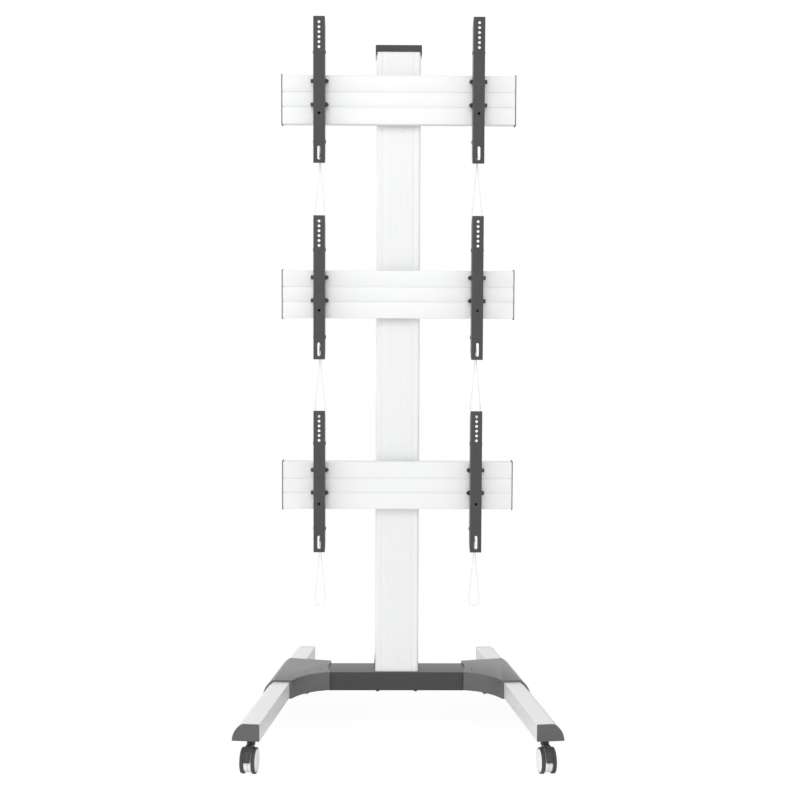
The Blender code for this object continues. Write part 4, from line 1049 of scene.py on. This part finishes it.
def carrierShape(s, arm, rail):
    railTop, railBottom = railCentre + rail["height"] / 2, railCentre - rail["height"] / 2
    outer = arm["width"] / 2 - arm["sheet"] - s["play"]
    inner, back = outer - s["cheek"], s["back"] + s["plate"]
    section = [(-outer, s["cheekFront"]), (-inner, s["cheekFront"]), (-inner, s["back"]), (inner, s["back"]),
               (inner, s["cheekFront"]), (outer, s["cheekFront"]), (outer, back), (-outer, back)]
    low, tall = railBottom + 2 * mm, rail["height"] - 4 * mm
    body = prism(rounded(section, (0, 0, 0.8 * mm, 0.8 * mm, 0, 0, 2.8 * mm, 2.8 * mm)), tall, upward(z=low))
    for z, inward in ((low + tall, -1), (low, 1)):
        edge, deepest, outside = s["cheekFront"] - 2 * mm, s["cheekFront"] + 10 * mm, z - inward * 3 * mm
        corner = [(edge, z + inward * 12 * mm), (deepest, z), (deepest, outside), (edge, outside)]
        body = cut(body, prism(corner, 60 * mm, sideways(-30 * mm)))
    window = ring(0, -arm["holes"][-1] * mm, s["window"], 28)
    window = prism(window, 2 * past, rearward(y=s["back"] - past))
    body = cut(softened(body, 0.4 * mm, 2, 40), window)
    front, rear = tongue(rail)
    shelf, near, step = railTop + 0.3 * mm, s["back"] + 0.2 * mm, back - 0.2 * mm
    root, tip, upper = railTop - 12 * mm, railTop - s["reach"], shelf + s["hookPlate"]
    hook = [(near, root), (step, root), (step, shelf), (front, shelf), (front, tip), (rear, tip),
            (rear, upper), (near, upper)]
    hook = rounded(hook, (0, 0, 0, 0.8 * mm, 1.5 * mm, 1.5 * mm, 2.5 * mm, 2.5 * mm))
    hook = prism(hook, s["hookWidth"], sideways(-s["hookWidth"] / 2))
    body = welded(body, softened(hook, 0.4 * mm, 2, 50))
    wide, slit, wall = s["guideHalf"] + s["guideWall"], s["guideHalf"] - s["guideLip"], s["guideWall"]
    lip = latchSettings["front"] + latchSettings["plate"] + 0.6 * mm
    half = [(wide, s["back"]), (wide, lip + wall), (slit, lip + wall), (slit, lip), (s["guideHalf"], lip),
            (s["guideHalf"], back)]
    top, long, overlap = railBottom - s["guideTop"], s["guideLength"], s["strapOverlap"]
    guide = prism(half + [(-x, y) for x, y in reversed(half)], long, upward(z=top - long))
    body = welded(body, softened(guide, 0.3 * mm, 2, 50))
    strap = slab(-wide + 0.3 * mm, near, wide - 0.3 * mm, step)
    return welded(body, prism(strap, railBottom + 4 * mm - top + overlap, upward(z=top - overlap)))


latchSettings = {
    "width": 16 * mm,
    "plate": 3 * mm,
    "front": 69.4 * mm,
    "end": 360 * mm,            # below the arm's top end
    "corners": (2.5, 0.6, 0.6, 0.6, 2.5, 2.5, 1, 0.6),      # radii of the bent section's corners, in mm
    "barrel": 2.2 * mm,
    "wire": 1.5 * mm,
    "ferrule": 2.1 * mm,
    "ferruleStart": 407 * mm,
    "ferruleEnd": 419 * mm,
    "bell": 3.4 * mm,
}


def latchShape(s, rail):
    railBottom = railCentre - rail["height"] / 2
    shelf = railBottom - 0.5 * mm
    front, rear = tongue(rail)
    face, back, low = s["front"], s["front"] + s["plate"], -s["end"]
    under, tip = shelf - s["plate"], railBottom + carrierSettings["reach"]
    side = [(face, shelf), (face, low), (back, low), (back, under), (rear, under), (rear, tip), (front, tip),
            (front, shelf)]
    side = rounded(side, [radius * mm for radius in s["corners"]])
    plate = softened(prism(side, s["width"], sideways(-s["width"] / 2)), 0.4 * mm, 2, 50)
    radius, edge = s["barrel"], 0.4 * mm
    barrel = [(0, -14 * mm), (radius - edge, -14 * mm), (radius, -13.6 * mm), (radius, -edge),
              (radius - edge, 0), (0, 0)]
    return welded(plate, spun(barrel, 24, upward(0, s["front"] + s["plate"] / 2, -s["end"] + 8 * mm)))


def wireShape(s):
    radius, bell = s["ferrule"], s["bell"]
    start, end = s["end"] - s["ferruleStart"], s["end"] - s["ferruleEnd"]
    profile = [(0, 0.0), (s["wire"], 0.0), (s["wire"], start), (radius - 0.5 * mm, start),
               (radius, start - 0.6 * mm), (radius, end + 3 * mm), (bell, end + 1 * mm),
               (bell, end - 1.5 * mm), (bell - 0.5 * mm, end - 2 * mm), (0, end - 2 * mm)]
    return spun(profile, 24, upward(0, s["front"] + s["plate"] / 2, -s["end"]))


def makeCarriers(s, arm, rail):
    carrier = pattern(carrierShape(s, arm, rail))
    outer, radius, edge = arm["width"] / 2 + s["play"], arm["boltRadius"], 0.8 * mm
    tip = outer + s["head"][1]
    bolts = {}
    for side, sign in sides.items():        # heads on the outer side of an arm, nuts on the inner side
        parts = []
        for drop in arm["bolts"]:
            head = pointing((sign * outer, arm["boltY"], -drop), (sign, 0, 0))
            parts.append(moved(roundHead(*s["head"]), head))
            nut = pointing((-sign * outer, arm["boltY"], -drop), (-sign, 0, 0))
            parts.append(moved(hexHead(*s["nut"]), nut))
            shank = [(0, -outer), (radius, -outer), (radius, tip - edge), (radius - edge, tip), (0, tip)]
            parts.append(spun(shank, 24, pointing((0, arm["boltY"], -drop), (-sign, 0, 0))))
        bolts[side] = pattern(gathered(parts))
    latch, wire = pattern(latchShape(latchSettings, rail)), pattern(wireShape(latchSettings))
    for row, height in enumerate(rows):
        for side, sign in sides.items():
            here, name = upward(sign * armX, faceY, armTop - rowPitch * row), height + side
            body = nodeName("carrier" + name)
            addPiece("carrier" + name, copied(carrier, here), "armGrey", body, [body], 30)
            addPiece("carrierBolts" + name, copied(bolts[side], here), "boltBlack", body)
            body = nodeName("latch" + name)
            addPiece("latch" + name, copied(latch, here), "latchZinc", body, [body], 30)
            addPiece("latchWire" + name, copied(wire, here), "latchZinc", body)


makeCarriers(carrierSettings, armSettings, railSettings)
print("carriers and latches made")


# casters, modelled with the stem's axis at X = Y = 0 and the wheels ahead of it

casterSettings = {
    "trail": 24 * mm,
    "wheel": 37.5 * mm,
    "drum": 33 * mm,
    "tyreInner": 10.6 * mm,
    "tyreOuter": 21.8 * mm,
    "shoulder": 2.4 * mm,
    "drumInner": 0.45 * mm,
    "axle": 4 * mm,
    "axleHalf": 19 * mm,
    "hub": 9 * mm,
    "web": 0.5 * mm,
    "hoodInner": 38.3 * mm,
    "hoodOuter": 44 * mm,
    "hoodWidth": 19.6 * mm,
    "hoodCorner": 3.5 * mm,
    "hoodEdge": 0.6 * mm,
    "hoodFront": radians(6),        # turned up from straight ahead
    "hoodRear": radians(190),
    "pedalTop": radians(51),
    "pedalHinge": radians(47),
    "pedalWidth": 12 * mm,
    "pedalPlay": 0.25 * mm,
    # a wheel's outer face: radius, and height above the tyre's side, in mm
    "disc": ((0, 1.2), (8, 1.15), (9, 0.9), (22, 0.9), (28.5, 0.8), (29.2, 0.4), (30, 0.4), (30.6, 0.7)),
    "coreEdge": 0.6 * mm,
    "pin": 1.6 * mm,
    "collar": 12.8 * mm,
    "collarBottom": 86.6 * mm,
    "collarTop": 97.4 * mm,
    "stem": 5 * mm,
    "stemTop": 121.7 * mm,
    "boss": 9.6 * mm,
    "bossTop": 86.1 * mm,
    "bossBottom": 69 * mm,
    "shoulderRadius": 12.4 * mm,        # the boss is wider above the tyres
    "shoulderBottom": 76 * mm,
}


def hoodSpot(s, radius, turn):
    return -s["trail"] - radius * cos(turn), s["wheel"] + radius * sin(turn)


def hoodArc(s, radius, start, end, steps):
    return [hoodSpot(s, radius, start + (end - start) * i / steps) for i in range(steps + 1)]


def pedalHinge(s):
    return hoodSpot(s, (s["hoodInner"] + s["hoodOuter"]) / 2, s["pedalHinge"])


def band(s, start, end, width, steps):      # a stretch of the hood, its outer edges rounded
    outline = hoodArc(s, s["hoodOuter"], start, end, steps) + hoodArc(s, s["hoodInner"], end, start, steps)
    centre = Vector((0, *hoodSpot(s, 0, 0)))
    limit = (s["hoodInner"] + s["hoodOuter"]) / 2

    def outside(spot):
        return (spot - centre).length > limit

    return softened(prism(outline, width, sideways(-width / 2)), s["hoodEdge"], 3, 50, outside)


def casterBodyShape(s):
    hood = band(s, s["hoodFront"], s["hoodRear"], s["hoodWidth"], 40)
    y, z = hoodSpot(s, (s["hoodInner"] + s["hoodOuter"]) / 2, s["hoodFront"])
    radius, far = s["hoodCorner"], s["hoodWidth"] / 2 + 1 * mm
    for sign in sides.values():     # the hood's front corners are round
        middle = sign * (s["hoodWidth"] / 2 - radius)
        corner = arc(middle, radius, radius, -pi / 2, (sign - 1) * pi / 2, 8)
        corner += [(sign * far, radius), (sign * far, -3 * mm), (middle, -3 * mm)]
        hood = cut(hood, prism(corner, 14 * mm, rearward(y=y - 7 * mm, z=z)))
    wellHalf = s["pedalWidth"] / 2 + s["pedalPlay"]
    well = (hoodArc(s, s["hoodOuter"] + 4 * mm, s["hoodFront"] - 0.1, s["pedalTop"] + 0.01, 10)
            + hoodArc(s, s["hoodInner"] - 4 * mm, s["pedalTop"] + 0.01, s["hoodFront"] - 0.1, 10))
    hood = cut(hood, prism(well, 2 * wellHalf, sideways(-wellHalf)))
    hood = cut(hood, prism(ring(*pedalHinge(s), s["pin"] + 0.3 * mm, 20), 24 * mm, sideways(-12 * mm)))
    hub = hoodArc(s, s["hub"], radians(200), radians(378), 14)
    web = hoodArc(s, s["hoodInner"] + 1.5 * mm, s["pedalTop"] + 0.05, s["hoodRear"] - 0.02, 30) + hub
    hood = welded(hood, prism(web, s["web"], sideways(-s["web"] / 2)))
    wide, low, top = s["shoulderRadius"], s["shoulderBottom"], s["bossTop"]
    boss = spun([(0, s["bossBottom"]), (s["boss"], s["bossBottom"]), (s["boss"], low), (wide - 0.6 * mm, low),
                 (wide, low + 0.6 * mm), (wide, top - 1 * mm), (wide - 1 * mm, top), (0, top)], 36)
    hood = welded(hood, boss)
    hood = cut(hood, prism(ring(0, 0, s["stem"] + 0.3 * mm, 28), 30 * mm, upward(z=s["bossBottom"] + 3 * mm)))
    axle = ring(*hoodSpot(s, 0, 0), s["axle"], 28)
    return welded(hood, prism(axle, 2 * s["axleHalf"], sideways(-s["axleHalf"])))


def pedalShape(s):
    pedal = band(s, s["hoodFront"], s["pedalTop"] - 0.01, s["pedalWidth"], 12)
    end = s["hoodWidth"] / 2 - 0.5 * mm
    return welded(pedal, prism(ring(*pedalHinge(s), s["pin"], 20), 2 * end, sideways(-end)))


def tyreShape(s):
    inner, outer, radius, round = s["tyreInner"], s["tyreOuter"], s["wheel"], s["shoulder"]
    profile = ([(s["drum"], inner)] + arc(radius - round, inner + round, round, -pi / 2, 0, 6)
               + arc(radius - round, outer - round, round, 0, pi / 2, 6) + [(s["drum"], outer)])
    return spun(profile, 72, closed=True)


def coreShape(s):
    drum, face, bore = s["drum"], s["tyreOuter"], s["axle"] + 0.3 * mm
    inner, edge, blind = s["drumInner"], s["coreEdge"], s["axleHalf"] + 0.4 * mm
    profile = [(radius * mm, face + height * mm) for radius, height in s["disc"]]
    profile += [(drum - edge, face + 0.5 * mm), (drum, face - 0.2 * mm), (drum, inner + edge),
                (drum - edge, inner), (bore, inner), (bore, blind), (0, blind)]
    return spun(profile, 72)


def stemShape(s):
    collar, low, high, stem = s["collar"], s["collarBottom"], s["collarTop"], s["stem"]
    mid, edge, foot = (low + high) / 2, 0.8 * mm, s["bossBottom"] + 4 * mm
    profile = [(0, s["stemTop"]), (stem - edge, s["stemTop"]), (stem, s["stemTop"] - edge), (stem, high),
               (collar - edge, high), (collar, high - edge), (collar, mid + edge), (collar - edge, mid),
               (collar, mid - edge), (collar, low + edge), (collar - edge, low), (stem, low), (stem, foot),
               (0, foot)]
    return spun(profile, 48)


def makeCasters(s):
    body, pedal, stem = pattern(casterBodyShape(s)), pattern(pedalShape(s)), pattern(stemShape(s))
    tyre, core = pattern(tyreShape(s)), pattern(coreShape(s))
    onAxle = Matrix(((0, 0, 1, 0), (0, 1, 0, -s["trail"]), (-1, 0, 0, s["wheel"]), (0, 0, 0, 1)))
    for corner in corners:
        name = nodeName(corner)
        spot = jointSpot("swivel" + name)
        side = "Left" if corner.endswith("Left") else "Right"
        back = legAxes(side).col[2]
        here = frameAt((spot.x, spot.y, 0), (back.y, -back.x, 0), (back.x, back.y, 0), (0, 0, 1))
        for kind, mesh, look, rides, node in (
                ("casterStem", stem, "stemBlack", base, "caster_stem"),
                ("casterBody", body, "casterGrey", "caster" + name, "caster_body"),
                ("brakePedal", pedal, "casterGrey", "pedal" + name, "brake_pedal")):
            addPiece(kind + corner, copied(mesh, here), look, rides, [node + name], 30)
        for wheel, turn in (("B", 0), ("A", pi)):
            there = here @ Matrix.Translation((0, -s["trail"], 0)) @ Matrix.Rotation(turn, 4, "Z")
            there = there @ Matrix.Translation((0, s["trail"], 0)) @ onAxle
            rides = "wheel" + name + "_" + wheel.lower()
            for kind, mesh, look in (("wheelTyre", tyre, "tyreGrey"), ("wheelCore", core, "coreWhite")):
                addPiece(kind + corner + wheel, copied(mesh, there), look, rides, ["caster_" + rides], 30)


makeCasters(casterSettings)
print("casters made")


# floor, light and the white surroundings

lightSettings = {
    "floorHalf": 15,
    "floor": 0.94,
    "floorGlow": 0.9,           # how much of the floor's white doesn't take a shadow
    "glow": 1.03,
    "world": (0.84, 0.54),      # from the left and from the right
    # the lamps: place, aim, size and power
    "front": (Vector((-0.5, -5.2, 3.0)), Vector((0, 0, 1.2)), 3.0, 116),
    "left": (Vector((-2.2, 0.3, 1.6)), Vector((0, 0.1, 0.2)), 1.6, 12),
}


def makeFloor(s):
    bm = bmesh.new()
    bmesh.ops.create_grid(bm, x_segments=4, y_segments=4, size=s["floorHalf"])
    mesh = bpy.data.meshes.new("floor")
    bm.to_mesh(mesh)
    bm.free()
    material, tree, shader = newMaterial("floor")
    grain = noiseOn(tree, patternSpace(tree), 40.0, 4.0)
    white = s["floor"]
    shade = colourBetween(tree, grain, (white * 0.99,) * 3, (white * 1.01,) * 3)
    tree.links.new(shade, shader.inputs["Base Color"])
    shader.inputs["Roughness"].default_value = 0.9
    shader.inputs["Specular IOR Level"].default_value = 0
    glow = addNode(tree, "ShaderNodeEmission", Color=(1, 1, 1, 1), Strength=s["glow"])
    seen = tree.nodes.new("ShaderNodeLightPath")
    share = tree.nodes.new("ShaderNodeMath")
    share.operation = "MULTIPLY"
    share.inputs[1].default_value = s["floorGlow"]
    tree.links.new(seen.outputs["Is Camera Ray"], share.inputs[0])
    blend = tree.nodes.new("ShaderNodeMixShader")
    tree.links.new(share.outputs["Value"], blend.inputs["Fac"])
    tree.links.new(shader.outputs["BSDF"], blend.inputs[1])
    tree.links.new(glow.outputs["Emission"], blend.inputs[2])
    tree.links.new(blend.outputs["Shader"], tree.nodes["Material Output"].inputs["Surface"])
    mesh.materials.append(material)
    floor = bpy.data.objects.new("floor", mesh)
    bpy.context.scene.collection.objects.link(floor)


def makeWorld(s):
    world = bpy.data.worlds.new("studio")
    world.use_nodes = True
    tree = world.node_tree
    seen = tree.nodes.new("ShaderNodeLightPath")
    clear = seen.outputs["Is Camera Ray"]
    for kind in ("Is Glossy Ray", "Is Transmission Ray"):
        either = tree.nodes.new("ShaderNodeMath")
        either.operation = "MAXIMUM"
        tree.links.new(clear, either.inputs[0])
        tree.links.new(seen.outputs[kind], either.inputs[1])
        clear = either.outputs["Value"]
    background = tree.nodes["Background"]
    background.inputs["Color"].default_value = (1, 1, 1, 1)
    direction = tree.nodes.new("ShaderNodeTexCoord")
    axes = tree.nodes.new("ShaderNodeSeparateXYZ")
    tree.links.new(direction.outputs["Generated"], axes.inputs["Vector"])
    level = addNode(tree, "ShaderNodeMapRange", To_Max=1.0)
    tree.links.new(spread(tree, axes.outputs["X"], *s["world"], -1, 1), level.inputs["To Min"])
    tree.links.new(clear, level.inputs["Value"])
    tree.links.new(level.outputs["Result"], background.inputs["Strength"])
    bpy.context.scene.world = world


def makeLamp(name, place, target, size, power):
    lamp = bpy.data.lights.new(name, "AREA")
    lamp.shape = "DISK"
    lamp.size = size
    lamp.energy = power
    item = bpy.data.objects.new(name, lamp)
    item.matrix_world = pointing(place, place - target)
    item.visible_camera = False
    item.visible_glossy = False     # a soft fill, with no highlight of its own
    bpy.context.scene.collection.objects.link(item)


makeFloor(lightSettings)
makeWorld(lightSettings)
for lampName in ("front", "left"):
    makeLamp(lampName, *lightSettings[lampName])
bpy.context.scene.view_settings.view_transform = "Standard"
print("studio lit")

bpy.context.view_layer.update()
